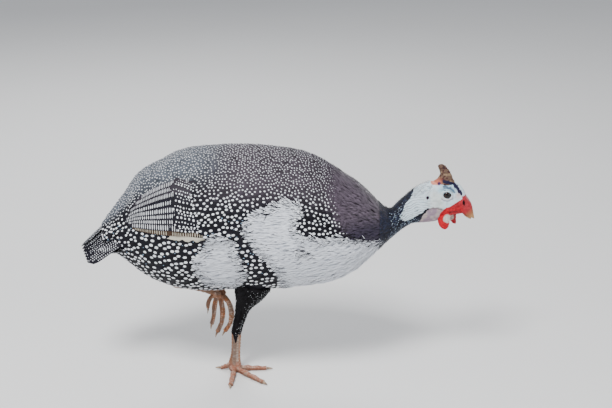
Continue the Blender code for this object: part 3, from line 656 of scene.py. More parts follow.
def dotted_coat(outer):
    """Dark feathers over the body, each with a pearl near its tip, and blue flecks on some of the sides'."""
    at, turn, gap = scattered(outer, pearl_gap, dotted_at, 220000)
    n = len(at)
    lie = Lie(outer, at + 2.6 * gap, turn, 3.1 * gap, 0.95 * gap, rng.normal(0, 2.5, n),
              np.full(n, -3.2 * MM), rng.normal(-0.2, 0.25, n) * MM + over_wing(at, turn))
    tint = varied(ground_tint(at, turn), 0.18)
    shrink = 1 - ramp(at / MM - collar_line(turn), -16, 2)
    fine = 1 - ramp(np.abs(turn), 38, 70)
    size = gap * (0.30 - 0.05 * fine) * (0.35 + 0.65 * shrink)
    pearl = varied(plain(PEARL, n) * (1 - 0.25 * fine[:, None]), 0.06)
    feather = tinted_material("plumage", 0.6, 900, 0.25, 0.3, barbs=True)
    regions = (("coat_back_right", (turn >= 0) & (turn < 48)), ("coat_back_left", (turn < 0) & (turn > -48)),
               ("coat_right", turn >= 48), ("coat_left", turn <= -48))
    for name, chosen in regions:
        coat = Coat()
        add_vanes(coat, lie.picked(chosen), tint[chosen], ragged=0.12)
        coat.piece(name, feather, "plumage")

    long = size * rng.uniform(0.95, 1.3, n)
    wide = size * rng.uniform(0.85, 1.0, n)
    on_sides, on_back = Coat(), Coat()
    for coat, chosen, sides in ((on_sides, np.abs(turn) > 45, 11), (on_back, np.abs(turn) <= 45, 7)):
        shown = chosen & (shrink > 0.08)
        m = shown.sum()
        add_pearls(coat, lie.picked(shown), np.full(m, 0.87), np.zeros(m), long[shown], wide[shown],
                   pearl[shown], sides)
    white = tinted_material("pearl", 0.6, 600, 0.06, 0.15)
    on_back.piece("pearls_back", white, "plumage", 80)
    flecked = (np.abs(turn) > 70) & (np.abs(turn) < 135) & (at < -0.02) & (rng.random(n) < 0.5)
    m = flecked.sum()
    add_pearls(on_sides, lie.picked(flecked), rng.uniform(0.60, 0.76, m),
               rng.choice((-0.55, 0.55), m) + rng.normal(0, 0.1, m), rng.uniform(0.5, 1.2, m) * MM,
               rng.uniform(0.4, 0.8, m) * MM, varied(plain(FLECK_BLUE, m), 0.2), 6)
    on_sides.piece("pearls_sides", white, "plumage", 80)


def white_down(outer):
    """Long soft down over the white patches, and a fringe of light and dark tufts along their edges."""
    fluffy = tinted_material("down", 0.7, 700, 0.05, 0.2, 0.15)
    down, fringe = Coat(), Coat()
    at, turn, _ = scattered(outer, 2.0 * MM, lambda at, turn: white_at(at, turn, 2.0), 120000)
    lie = DOWN.laid(outer, at, turn)
    DOWN.add(down, lie, varied(plain(SNOW, len(at)), 0.05))
    down.piece("down", fluffy, "plumage")

    def border(at, turn):
        shift = 3.5 * MM
        near = [white_at(at + dx * shift, turn + dt * 3.0) for dx, dt in ((1, 0), (-1, 0), (0, 1), (0, -1))]
        return np.any(near, axis=0) & ~np.all(near, axis=0) & (at < 0.13)
    at, turn, _ = scattered(outer, 1.25 * MM, border, 200000)
    lie = FRINGE.laid(outer, at, turn)
    pale = rng.random((len(at), 1)) < 0.68
    FRINGE.add(fringe, lie, varied(np.where(pale, np.array(SNOW), np.array(INK) * 2), 0.06))
    fringe.piece("fringe", fluffy, "plumage")


def plain_collar(outer):
    """Plain feathers like hair round the base of the neck."""
    def spacing(at, turn):
        return (2.6 - 1.0 * ramp(at / MM, 120, 160)) * MM

    def wanted(at, turn):
        x = at / MM
        return ~white_at(at, turn, 1.0) & (x > collar_line(turn) + rng.normal(0, 3, np.shape(x))) & (x < 168)
    at, turn, _ = scattered(outer, spacing, wanted, 90000, 0.06, 0.170)
    lie = RUFF.laid(outer, at, turn, 1 - 0.5 * ramp(at / MM, 120, 165))
    x, a = at / MM, np.abs(turn)
    tint = mixed(COLLAR, COLLAR_LOW, ramp(a + (x - 80) * 0.4, 62, 100))
    tint = mixed(tint, NECK_BLACK, ramp(x, 132, 152))
    collar = Coat()
    RUFF.add(collar, lie, varied(tint, 0.22))
    collar.piece("collar", tinted_material("collar", 0.65, 700, 0.2, 0.3, 0.2), "collar")


def fine_copy(name, nodes, voxel, relax=2):
    """A finely meshed copy of some CAD nodes, joined in one closed surface."""
    mesh = bpy.data.meshes.new(name)
    points, faces = cad_faces(nodes)
    mesh.from_pydata(points, [], faces)
    obj = new_object(name, mesh)
    remesh = obj.modifiers.new("remesh", "REMESH")
    remesh.mode = "VOXEL"
    remesh.voxel_size = voxel
    relaxing = obj.modifiers.new("relax", "SMOOTH")
    relaxing.iterations = relax
    relaxing.factor = 0.5
    apply_modifiers(obj)
    obj.data.shade_smooth()
    return obj


def apply_modifiers(obj):
    graph = bpy.context.evaluated_depsgraph_get()
    made = bpy.data.meshes.new_from_object(obj.evaluated_get(graph))
    obj.modifiers.clear()
    obj.data = made


def mesh_points(obj):
    points = np.empty(len(obj.data.vertices) * 3)
    obj.data.vertices.foreach_get("co", points)
    return points.reshape(-1, 3)


def mesh_normals(obj):
    normals = np.empty(len(obj.data.vertices) * 3)
    obj.data.vertex_normals.foreach_get("vector", normals)
    return normals.reshape(-1, 3)


def move_points(obj, points):
    obj.data.vertices.foreach_set("co", points.ravel())
    obj.data.update()


def lumps(points, size, seed):
    """Smooth noise from -1 to 1 in lumps of about this size."""
    across = 40
    grid = np.random.default_rng(seed).uniform(-1, 1, (across, across, across))
    place = points / size + 1000
    low = np.floor(place).astype(int)
    share = place - low
    share = share * share * (3 - 2 * share)
    total = np.zeros(len(points))
    for corner in range(8):
        step = np.array([corner & 1, corner >> 1 & 1, corner >> 2])
        weight = np.where(step, share, 1 - share).prod(axis=1)
        i = (low + step) % across
        total += weight * grid[i[:, 0], i[:, 1], i[:, 2]]
    return total


def line_distance(x, z, line):
    """Distance in the plane from a line through these corners."""
    nearest = np.full(np.shape(x), 1e9)
    for (x0, z0), (x1, z1) in zip(line, line[1:]):
        t = np.clip(((x - x0) * (x1 - x0) + (z - z0) * (z1 - z0)) / ((x1 - x0) ** 2 + (z1 - z0) ** 2), 0, 1)
        nearest = np.minimum(nearest, np.hypot(x - x0 - t * (x1 - x0), z - z0 - t * (z1 - z0)))
    return nearest


# Places on the head in mm: the eye's middle as (x, y, z), all others as (x, z).
EYE = (223.8, 8.0, 262.6)
EAR = (198.0, 259.5)
NOSTRIL = (246.6, 250.6)
UNDER_LINE = ((198.5, 244.0), (191.4, 236.2), (179.9, 229.6), (173.4, 225.6), (162.7, 223.6))
CHEEK_LINE = ((197.5, 243.0), (204, 245.2), (211, 245.6), (217, 243.5))
RED_FRONT = ((213.9, 228.2), (215.1, 236.7), (220.0, 244.1), (231.8, 249.1), (237.1, 252.9), (244.0, 256.8),
             (246.5, 260.9), (262, 262), (262, 222), (213.9, 222))
NAVY_BAND = ((219.6, 280.1), (227.6, 278.0), (234.4, 274.2), (238.3, 269.4), (240.9, 265.5), (243.0, 262.8))
BROW_LINE = ((219.5, 272.6), (222.3, 272.8), (227.5, 271.2), (231.8, 268.7), (233.6, 266.0))
UNDER_EYE = ((216.6, 258.0), (220.0, 255.6), (224.0, 254.8), (228.0, 255.6), (231.0, 257.6))
FLANGE = ((204.9, 277.4), (211.9, 277.2), (214.4, 279.9), (217.0, 282.5))
GAPE = ((224.5, 235.5), (230.0, 238.2), (237.0, 238.8), (244.5, 236.6))
RED = (0.42, 0.005, 0.013)
PINK_RED = (0.36, 0.026, 0.035)
NAVY = (0.011, 0.009, 0.034)
PALE_BLUE = (0.30, 0.53, 0.68)
CHEEK_GREY = (0.60, 0.62, 0.57)
LORE_PINK = (0.55, 0.26, 0.20)
# painted shade in the hollows and folds of the bare skin
FOLD_SHADE_BLUE = (0.26, 0.34, 0.42)
FOLD_SHADE_DARK = (0.07, 0.10, 0.13)
THROAT_MAUVE = (0.27, 0.20, 0.25)
THROAT_GREY = (0.40, 0.33, 0.32)
CHEEK_SHADE = (0.12, 0.08, 0.09)
GAPE_RED = (0.09, 0.004, 0.008)
# painted shadow under the brow's roll of skin
BROW_SHADOW_BLUE = (0.06, 0.10, 0.17)
LID_SHADE = (0.16, 0.14, 0.22)
FLANGE_RED = (0.64, 0.24, 0.16)
PURPLE = (0.055, 0.026, 0.085)
EAR_HOLE_SHADE = (0.045, 0.010, 0.035)


def neck_folds(points):
    """The long folds down the cheek and neck: 0 in the valleys, 1 on the crests."""
    x, z = points[:, 0] / MM, points[:, 2] / MM
    across = -0.36 * x + 0.93 * z + 0.012 * (x - 180) ** 2
    across += 1.9 * lumps(points, 8 * MM, 1) + 0.6 * lumps(points, 3 * MM, 15)
    return np.abs(np.sin(math.pi * across / 3.0)) ** (0.8 + 0.5 * lumps(points, 7 * MM, 16))


def navy_band(x, z):
    """How much of the dark band in front of the casque shows here."""
    return 1 - ramp(line_distance(x, z, NAVY_BAND) - 0.5 * np.sin(1.3 * x), 1.6, 2.6)


def nostril_pit(x, z):
    """0 in the middle of the nostril, 1 at its edge."""
    return np.hypot((x - NOSTRIL[0] + 0.16 * (z - NOSTRIL[1])) / 1.6, (z - NOSTRIL[1]) / 4.0)


def head_shape(points, bare):
    """How far the head's skin stands out, in mm."""
    x, z = points[:, 0] / MM, points[:, 2] / MM
    out = -0.9 * (1 - bare)

    # Folds of the neck, rings round the eye, folds of the crown
    folded = band(x, 162, 170, 196, 210) * (1 - ramp(z, 254, 265)) * bare
    out += folded * (0.70 * neck_folds(points) - 0.40)
    r = np.hypot((x - EYE[0]) / 1.18, z - EYE[2])
    rings = np.abs(np.sin(math.pi * r / 1.9 + 0.9 * lumps(points, 4 * MM, 2)))
    out += band(r, 6.2, 8.0, 11, 15) * bare * 0.24 * (rings - 0.5)
    crown = ramp(z, 264, 272) * band(x, 176, 186, 204, 212) * bare
    out += crown * 0.2 * np.abs(np.sin(math.pi * (0.8 * x - 0.5 * z) / 3.1 + lumps(points, 5 * MM, 3)))

    # The brow's crease, and the roll of skin over it
    out -= 0.45 * glow(line_distance(x, z, BROW_LINE), 0.7)
    out += 0.35 * glow(line_distance(x, z + 1.8, BROW_LINE), 1.2) * ramp(z, 268, 270)

    # The ear's rim and pit, the rough red skin, fine pebbles
    ear = np.hypot((x - EAR[0]) / 2.0, (z - EAR[1]) / 2.8)
    out += 0.35 * glow(ear - 1.35, 0.35) - 1.3 * np.clip(1 - ear ** 2, 0, 1)
    red = inside(RED_FRONT, x, z).astype(float)
    out += red * (0.26 * lumps(points, 1.9 * MM, 4) + 0.1 * lumps(points, 0.9 * MM, 5))
    out += bare * (0.10 * lumps(points, 1.7 * MM, 6) + 0.06 * lumps(points, 0.85 * MM, 7))
    return out


def head_tint(points, bare, out):
    """The colours of the head's skin, with shade painted into its folds and hollows, under its brow and in
    its ear.
    """
    wobble = np.stack([lumps(points, 2.6 * MM, 11), lumps(points, 2.6 * MM, 12)], axis=1)
    x, z = points[:, 0] / MM + 0.9 * wobble[:, 0], points[:, 2] / MM + 0.9 * wobble[:, 1]
    r = np.hypot((x - EYE[0]) / 1.1, z - EYE[2] - 2)
    # painted shade down the valleys of the neck's folds
    valley_shade = (1 - ramp(neck_folds(points), 0.15, 0.7)) * band(x, 163, 170, 198, 208) * (1 - ramp(z, 254, 262))
    tint = layered(
        plain(SKIN_WHITE, len(points)),
        (PALE_BLUE, 0.75 * (1 - ramp(r, 8, 16)) * ramp(z, 260, 268)),
        (CHEEK_GREY, 0.6 * band(x, 196, 206, 214, 224) * (1 - ramp(z, 262, 272))),
        (LORE_PINK, 0.55 * glow(np.hypot((x - 239) / 4, (z - 262) / 5), 1)),
        # painted shade: blue-grey where the skin sinks in, and dark down the valleys of the neck's folds
        (FOLD_SHADE_BLUE, 0.7 * ramp(-out, 0.0, 0.35) * bare),
        (FOLD_SHADE_DARK, valley_shade * (0.6 + 0.4 * lumps(points, 5 * MM, 17))))
    tint = tint * (1 - 0.16 * ramp(lumps(points, 3.5 * MM, 13), -0.1, 0.6))[:, None]

    throat = mixed(THROAT_MAUVE, THROAT_GREY, ramp(lumps(points, 4 * MM, 18), -0.4, 0.5))
    edge_x, edge_z = zip(*sorted(UNDER_LINE + CHEEK_LINE[1:]))
    below = (z < np.interp(x, edge_x, edge_z)) & (x > 186)
    tint = np.where(below[:, None], throat, tint)
    tint = mixed(tint, CHEEK_SHADE, 0.85 * glow(line_distance(x, z, CHEEK_LINE), 1.1))
    red = mixed(RED, PINK_RED, ramp(z, 240, 252) * 0.7) * (1 + 0.45 * lumps(points, 2.0 * MM, 14))[:, None]
    tint = np.where(inside(RED_FRONT, x, z)[:, None], red, tint)
    return layered(
        tint,
        (GAPE_RED, 0.85 * glow(line_distance(x, z, GAPE), 0.9)),
        (NAVY, navy_band(x, z)),
        # painted shadow: a slate-blue line under the brow's roll of skin, above the eye
        (BROW_SHADOW_BLUE, 0.85 * (1 - ramp(line_distance(x, z, BROW_LINE), 0.5, 1.9))),
        (LID_SHADE, 0.7 * (1 - ramp(line_distance(x, z, UNDER_EYE), 0.3, 1.2))),
        (FLANGE_RED, 1 - ramp(line_distance(x, z, FLANGE), 1.8, 2.8)),
        (PURPLE, 1 - ramp(np.hypot(x - 213.5, (z - 276.5) * 1.2), 1.2, 2.4)),
        # painted shade in the ear's opening
        (EAR_HOLE_SHADE, 1 - ramp(np.hypot((x - EAR[0]) / 2.1, (z - EAR[1]) / 3.0), 0.75, 1.1)),
        (NECK_BLACK, 1 - bare),
        (NECK_BLACK, 1 - ramp(line_distance(x, z, UNDER_LINE), 1.3, 2.1)))


def body_skin(outer):
    """The flesh under the coat with the coat's markings, and the bare skin of the head, in one piece."""
    body = fine_copy("skin", ("torso", "thigh_right", "thigh_left"), 2.5 * MM, 4)
    points = mesh_points(body)
    middle = np.interp(points[:, 0], outer.stations, outer.centres[:, 2])
    turn = np.degrees(np.arctan2(-points[:, 1], points[:, 2] - middle))
    white = white_at(points[:, 0], turn) & (points[:, 2] > 0.150)
    paint(body.data, mixed(ground_tint(points[:, 0], turn), SNOW, white))
    move_points(body, points - mesh_normals(body) * 3.4 * MM)

    head = fine_copy("head_skin", ("neck", "head"), 0.5 * MM, 3)
    points = mesh_points(head)
    ragged = points + 0.7 * MM * np.stack([lumps(points, 2.2 * MM, s) for s in (8, 9, 10)], axis=1)
    bare = bare_share(ragged).astype(float)
    out = head_shape(points, bare)
    paint(head.data, head_tint(points, bare, out))
    points[:, 0] += 0.5 * MM * ramp(points[:, 0] / MM, 242.4, 243.2)
    move_points(head, points + mesh_normals(head) * (out * MM)[:, None])
    bpy.ops.object.select_all(action="DESELECT")
    head.select_set(True)
    body.select_set(True)
    bpy.context.view_layer.objects.active = body
    bpy.ops.object.join()
    finished(body, tinted_material("skin", 0.48, 900, 0.10, 0.35, soft=0.10), "bare_skin",
             "torso", "neck", "head", "thigh_right", "thigh_left")


def ring_mesh(name, rings, closed, tint, material, slot, *nodes, level=1):
    """Joins rings of points (rings, around, 3) in metres; closed joins the last ring to the first."""
    count, around = rings.shape[:2]
    faces = []
    for i in range(count if closed else count - 1):
        for j in range(around):
            a, b = i * around, (i + 1) % count * around
            faces.append((a + j, a + (j + 1) % around, b + (j + 1) % around, b + j))
    mesh = bpy.data.meshes.new(name)
    mesh.from_pydata(rings.reshape(-1, 3).tolist(), [], faces)
    obj = new_object(name, mesh)
    paint(mesh, tint.reshape(-1, 3))
    finer = obj.modifiers.new("finer", "SUBSURF")
    finer.levels = level
    finer.render_levels = level
    apply_modifiers(obj)
    obj.data.shade_smooth()
    return finished(obj, material, slot, *nodes)


# The eyelid's inner rings, in mm: half axes along x and z, and their distance from the eye's middle.
LID_INNER = ((6.15, 4.75, 6.50), (5.95, 4.58, 6.84), (5.88, 4.50, 7.00), (5.98, 4.60, 7.18),
             (6.20, 4.80, 7.30))
# Its outer rings: half axes, and how far they stand off the solid head.
LID_OUTER = ((6.6, 5.2, 0.30), (7.1, 5.7, 0.24), (7.8, 6.4, 0.12), (8.5, 7.1, -0.15), (9.2, 7.7, -0.9))
LID_TINTS = ((0.01, 0.01, 0.015), (0.015, 0.017, 0.025), (0.02, 0.022, 0.035), (0.05, 0.05, 0.08),
             (0.34, 0.32, 0.35), (0.62, 0.62, 0.64), (0.55, 0.64, 0.69), (0.60, 0.69, 0.74), SKIN_WHITE,
             SKIN_WHITE)
# How deep the folds are cut in each ring, and how far the ring is raised, in mm.
LID_FOLDS = (0, 0, 0.2, 0.6, 1, 1, 1, 1, 0.4, 0)
LID_RAISED = (0, 0, 0, 0.1, 0.16, -0.12, 0.18, -0.10, 0.08, 0)
EYEBALL_RADIUS = 6.8
IRIS = (0.026, 0.010, 0.007)
PUPIL = (0.003, 0.003, 0.004)
IRIS_RIM = (0.008, 0.006, 0.008)
EYE_WHITE = (0.22, 0.20, 0.20)
AROUND_EYE = np.arange(180) * 2 * math.pi / 180


def eyelid(name, side, head, material):
    """The folded lids of one eye, as one closed ring."""
    turns = AROUND_EYE
    rings = []
    for half_x, half_z, radius in LID_INNER:
        x, z = half_x * np.cos(turns), half_z * np.sin(turns)
        rings.append(np.stack([x, np.sqrt(radius ** 2 - x ** 2 - z ** 2) + EYE[1], z], axis=1))
    for half_x, half_z, off in LID_OUTER:
        x, z = half_x * np.cos(turns), half_z * np.sin(turns)
        y = np.empty(len(turns))
        for i in range(len(turns)):
            start = Vector(((EYE[0] + x[i]) * MM, side * 0.03, (EYE[2] + z[i]) * MM))
            y[i] = abs(head.ray_cast(start, Vector((0, -side, 0)))[0].y) / MM + off
        y = (np.roll(y, 1) + y + np.roll(y, -1)) / 3
        rings.append(np.stack([x, y, z], axis=1))
    rings = np.array(rings)
    folds = np.array(LID_FOLDS)[:, None] * 0.10
    rings[:, :, 1] += folds * np.sin(turns * 34 + 2.5 * np.sin(turns * 5 + side))[None]
    rings[:, :, 1] += np.array(LID_RAISED)[:, None]
    tint = np.repeat(np.array(LID_TINTS)[:, None], len(turns), axis=1)
    lower = (np.sin(turns) < -0.1)[None, :, None] & (np.arange(len(rings)) > 3)[:, None, None]
    tint = np.where(lower, tint * np.array((1.05, 0.88, 0.85)), tint)
    points = (rings * np.array((1, side, 1)) + np.array((EYE[0], 0, EYE[2]))) * MM
    ring_mesh("eyelid_" + name, points[:, ::side], True, tint[:, ::side], material, "bare_skin")


def eyeball(name, side, material):
    """One eyeball with its cornea, turned a little to the front."""
    turns = AROUND_EYE
    look = Vector((0.10, side, 0.02)).normalized()
    aside = look.cross(Vector((0, 0, 1))).normalized()
    above = aside.cross(look)
    polar = np.concatenate([[0.002], np.linspace(0.03, 0.9, 40), np.linspace(1.0, math.pi - 0.002, 24)])
    radius = (EYEBALL_RADIUS + 0.30 * glow(polar, 0.48)) * MM
    local = np.stack([np.cos(polar)[:, None] + 0 * turns, np.sin(polar)[:, None] * np.cos(turns),
                      np.sin(polar)[:, None] * np.sin(turns)], axis=2) * radius[:, None, None]
    points = local @ np.array([look[:], aside[:], above[:]]) + np.array((EYE[0], side * EYE[1], EYE[2])) * MM
    streaks = 1 + 0.35 * np.sin(turns * 38 + 2 * np.sin(turns * 7))
    out = polar[:, None] + 0 * turns
    tint = layered(
        np.array(IRIS) * streaks[None, :, None] * np.ones((len(polar), 1, 1)),
        (PUPIL, 1 - ramp(out, 0.42, 0.47)),
        (IRIS_RIM, ramp(out, 0.60, 0.66)),
        (EYE_WHITE, ramp(out, 0.98, 1.05)))
    ring_mesh("eyeball_" + name, points[:, ::side], False, tint[:, ::side], material, "eye",
              "eye_" + name, level=0)


def eyes():
    """Glossy eyeballs with pupil, iris and cornea, and the folded lids round them."""
    head = cad_tree("head")
    lid_skin = tinted_material("lids", 0.42, 900, 0.10, 0.35, soft=0.10)
    ball_gloss = tinted_material("eyeball", 0.10, 400, 0.10, 0.0, coat=0.45, gloss=0.1)
    for name, side in (("right", -1), ("left", 1)):
        eyelid(name, side, head, lid_skin)
        eyeball(name, side, ball_gloss)


def worked(name, nodes, voxel, shape, colour, slot, material):
    """A fine copy of some nodes in their place, shaped by `shape` in mm and painted by `colour`."""
    obj = fine_copy(name, nodes, voxel)
    points = mesh_points(obj)
    out = shape(points)
    paint(obj.data, colour(points, out))
    if slot == "bill":
        points[:, 0] -= 0.35 * MM * (1 - ramp(points[:, 0] / MM, 244.4, 245.4))
    move_points(obj, points + mesh_normals(obj) * (out * MM)[:, None])
    return finished(obj, material, slot, *nodes)


BILL_BROWN = (0.30, 0.115, 0.050)
BILL_TIP = (0.42, 0.25, 0.11)
BILL_RIDGE = ((250, 258), (259, 247), (262, 234))
RIDGE_PINK = (0.60, 0.30, 0.30)
NOSTRIL_SHADE = (0.008, 0.006, 0.008)
HORN_BROWN = (0.120, 0.072, 0.050)
HORN_PALE = (0.25, 0.165, 0.10)
HORN_RED = (0.060, 0.018, 0.020)
HORN_DARK = (0.045, 0.022, 0.020)
HORN_PIT_SHADE = (0.06, 0.03, 0.025)
HORN_FOOT = (0.50, 0.14, 0.085)
FLAP_PALE = (0.56, 0.60, 0.53)
FLAP_WRINKLE_SHADE = (0.30, 0.004, 0.010)


def bill_shape(points):
    """Rough skin at the bill's root, fine grain on its horn, and the nostril's rim and pit."""
    x, z = points[:, 0] / MM, points[:, 2] / MM
    cere = 1 - ramp(x + 0.5 * (z - 245), 246, 254)
    pit = nostril_pit(x, z)
    out = cere * (0.22 * lumps(points, 1.7 * MM, 21) + 0.1 * lumps(points, 0.8 * MM, 22))
    out += (1 - cere) * 0.05 * lumps(points * np.array((1, 1, 0.25)), 1.0 * MM, 23)
    return out + 0.35 * glow(pit - 1.25, 0.3) - 1.5 * np.clip(1 - pit ** 2, 0, 1)


def bill_tint(points, out):
    """Red skin above, a brown and pale tip."""
    x, z = points[:, 0] / MM, points[:, 2] / MM
    tipward = 0.75 * (x - 246) + 0.9 * (240 - z)
    return layered(
        plain(PINK_RED, len(points)) * (1 + 0.35 * lumps(points, 2.4 * MM, 24)[:, None]),
        (SKIN_WHITE, ramp(z + 0.8 * lumps(points, 2 * MM, 25), 259.0, 261.5)),
        (NAVY, navy_band(x, z)),
        (RED, 0.7 * (1 - ramp(z, 238, 248)) * (1 - ramp(x, 246, 254))),
        (BILL_BROWN, ramp(tipward, 5, 14)),
        (BILL_TIP, 0.7 * ramp(tipward, 12, 19)),
        (RIDGE_PINK, 0.5 * glow(line_distance(x, z, BILL_RIDGE), 1.4)),
        # painted shade in the nostril's pit
        (NOSTRIL_SHADE, 1 - ramp(nostril_pit(x, z), 0.75, 1.1)))


def casque_shape(points):
    ridges = np.abs(lumps(points, 4.2 * MM, 31))
    out = 0.55 * lumps(points, 3.4 * MM, 32) + 0.28 * lumps(points, 1.5 * MM, 33)
    return out - 0.5 * (0.3 - ridges).clip(0)


def casque_tint(points, out):
    """Mottled horn, with red skin at its back foot and the dark band at its front one."""
    x, z = points[:, 0] / MM, points[:, 2] / MM
    away = line_distance(x, z + 0.8, NAVY_BAND) - 0.9 * lumps(points, 2.4 * MM, 37)
    return layered(
        plain(HORN_BROWN, len(points)),
        (HORN_PALE, ramp(lumps(points, 3.0 * MM, 34), 0.05, 0.5)),
        (HORN_RED, ramp(lumps(points, 2.6 * MM, 35), 0.12, 0.4)),
        (HORN_DARK, ramp(lumps(points, 1.9 * MM, 36), 0.42, 0.6)),
        # painted shade in the casque's pits
        (HORN_PIT_SHADE, 0.7 * ramp(-out, 0.25, 0.6)),
        (HORN_FOOT, (1 - ramp(z, 278, 286)) * (1 - ramp(x, 213, 220))),
        (NAVY, (1 - ramp(away, 1.5, 2.6)) * ramp(x, 216, 219)),
        (PURPLE, 1 - ramp(np.hypot(x - 213.5, (z - 277.0) * 1.2), 1.4, 2.6)))


def wattle_tint(points, out):
    """Red rim and lower part round a pale middle, on the flat of the flap."""
    middle = (points.min(axis=0) + points.max(axis=0)) / 2
    axes = np.linalg.svd((points - points.mean(axis=0))[::7], full_matrices=False)[2]
    level = axes[0] if abs(axes[0][2]) < abs(axes[1][2]) else axes[1]
    level = np.array((level[0], level[1], 0))
    level /= np.linalg.norm(level) * (1 if level[0] > 0 else -1)
    a = (points - middle) @ level / MM + 0.8 * lumps(points, 3 * MM, 41)
    b = (points[:, 2] - middle[2]) / MM + 0.8 * lumps(points, 3 * MM, 42)
    if points[:, 1].mean() > 0:
        a, b = points[:, 0] / MM - 227.4, points[:, 2] / MM - 221.5
    pale = 1 - ramp(np.hypot((a - 3.6) / 6.2, (b - 3.0) / 7.2), 0.66, 1.0)
    return layered(
        plain(RED, len(points)) * (1 + 0.3 * lumps(points, 2.2 * MM, 43)[:, None]),
        (FLAP_PALE, pale * (0.85 + 0.15 * lumps(points, 2 * MM, 46))),
        # painted shade in the hollows of the wrinkles
        (FLAP_WRINKLE_SHADE, 0.5 * ramp(-out, 0.05, 0.25)))


# Each leg's front along the shank and top along the toes.
LEG_FACINGS = {"right": ((1, -0.3, 0), (0, 0, 1)), "left": ((0, 0, 1), (1, -0.2, 0))}
TOES = ("inner", "middle", "outer", "hallux")
# The standing shank's middle: heights and x, in mm.
SHANK_MIDDLE = ((0, 60), (-60, -56.8))
SCUTE_PITCH = {"shank": 4.1, "toe": 3.1}


def node_line(name):
    """The middle, direction and half length of a long node, in metres."""
    points = np.array([v.co[:] for v in bpy.data.objects[name].data.vertices])
    middle = points.mean(axis=0)
    axis = np.linalg.svd(points - middle, full_matrices=False)[2][0]
    reach = (points - middle) @ axis
    return middle + axis * (reach.min() + reach.max()) / 2, axis, (reach.max() - reach.min()) / 2


def cells(along, around, size):
    """Low domes in staggered rows, from 0 to 1."""
    row = along / size
    cell = around / size + 0.5 * (np.floor(row) % 2)
    return (1 - (2 * (row % 1) - 1) ** 4) * (1 - (2 * (cell % 1) - 1) ** 4)


def scales(points, node, facing):
    """How far a shank's or toe's scales stand out in mm, and the metres from its middle line."""
    middle, axis, half = node_line(node)
    toe = not node.startswith("shank")
    up = np.array(facing, float)
    up -= axis * (up @ axis)
    up /= np.linalg.norm(up)
    along = (points - middle) @ axis
    radial = points - middle - np.clip(along, -half, half)[:, None] * axis
    distance = np.linalg.norm(radial, axis=1)
    angle = np.arctan2(radial @ np.cross(axis, up), radial @ up)
    s = along / MM + 0.35 * lumps(points, 5 * MM, 51)
    around = angle * distance / MM
    part = (s / SCUTE_PITCH["toe" if toe else "shank"]) % 1
    scute = 0.30 * (1 - (2 * part - 1) ** 8) + 0.22 * part
    small = 0.20 * cells(s, around, 1.9)
    pad = 0.22 * cells(s, around, 1.3) + 0.15 * lumps(points, 2.4 * MM, 52)
    wide = 1.15 if toe else 1.0
    front = 1 - ramp(np.abs(angle), wide - 0.12, wide + 0.12)
    sole = ramp(np.abs(angle), 2.2, 2.4) if toe else 0 * angle
    return scute * front + small * (1 - front) * (1 - sole) + pad * sole - 0.2, distance


def leg_tint(points, out, side):
    """Greyish shank and orange toes on the standing leg, brown and orange on the raised one; painted
    highlights on the shank's middle and on the raised scales, painted shade between the scales.
    """
    x, z = points[:, 0] / MM, points[:, 2] / MM
    n = len(points)
    patch = lumps(points, 5 * MM, 53)
    fine = lumps(points, 1.6 * MM, 54)
    if side == "right":
        deep = 0.62
        off = np.abs(x - np.interp(z, *SHANK_MIDDLE))
        shank = layered(
            plain((0.43, 0.36, 0.31), n),
            ((0.55, 0.27, 0.14), np.clip(ramp(off, 3.0, 5.8) + 0.3 * patch, 0, 1)),
            # painted highlight: whitish-grey patches down the middle of the standing shank
            ((0.52, 0.50, 0.48), 0.8 * ramp(patch, 0.1, 0.5) * (off < 4)))
        toes = mixed(plain((0.55, 0.27, 0.19), n), (0.50, 0.38, 0.31), ramp(patch, -0.1, 0.5))
        tint = mixed(toes, shank, ramp(z, 11, 20))
    else:
        deep = 0.85
        tint = layered(
            plain((0.40, 0.21, 0.12), n),
            ((0.34, 0.25, 0.20), ramp(patch, -0.3, 0.4)),
            ((0.56, 0.22, 0.08), 0.7 * ramp(lumps(points, 7 * MM, 55), 0.15, 0.5)))
    tint = layered(
        tint,
        # painted highlight on the raised scales
        ((0.72, 0.66, 0.60), 0.45 * ramp(out, 0.05, 0.25) * ramp(fine, -0.2, 0.3)),
        # painted shade in the grooves between the scales
        ((0.10, 0.05, 0.035), 0.85 * ramp(-out, -0.06, 0.18)))
    return np.clip(tint * np.array((1.0, 0.86, 0.78)) * deep * (1 + 0.2 * fine[:, None]), 0, 1)


def claw_shape(points):
    return 0.05 * lumps(points, 1.2 * MM, 56)


def claw_tint(points, out):
    dark = ramp(lumps(points, 3 * MM, 57), -0.3, 0.6)
    return mixed(plain((0.36, 0.25, 0.17), len(points)), (0.16, 0.10, 0.07), dark)


def legs():
    """Scaly shanks and toes, each leg in one skin, and the claws."""
    scaly = tinted_material("scales", 0.45, 900, 0.16, 0.4)
    horn = tinted_material("claws", 0.35, 700, 0.2, 0.2)
    for side, (front, top) in LEG_FACINGS.items():
        toes = ["toe_" + toe + "_" + side for toe in TOES]

        def leg_shape(points, toes=toes, side=side, front=front, top=top):
            out, nearest = scales(points, "shank_" + side, front)
            for toe in toes:
                value, distance = scales(points, toe, top)
                out = np.where(distance < nearest, value, out)
                nearest = np.minimum(nearest, distance)
            return out

        def colour(points, out, side=side):
            return leg_tint(points, out, side)
        worked("leg_" + side, ["shank_" + side] + toes, 0.5 * MM, leg_shape, colour, "leg", scaly)
        worked("claws_" + side, ["claw_" + toe + "_" + side for toe in TOES], 0.3 * MM, claw_shape, claw_tint,
               "claw", horn)


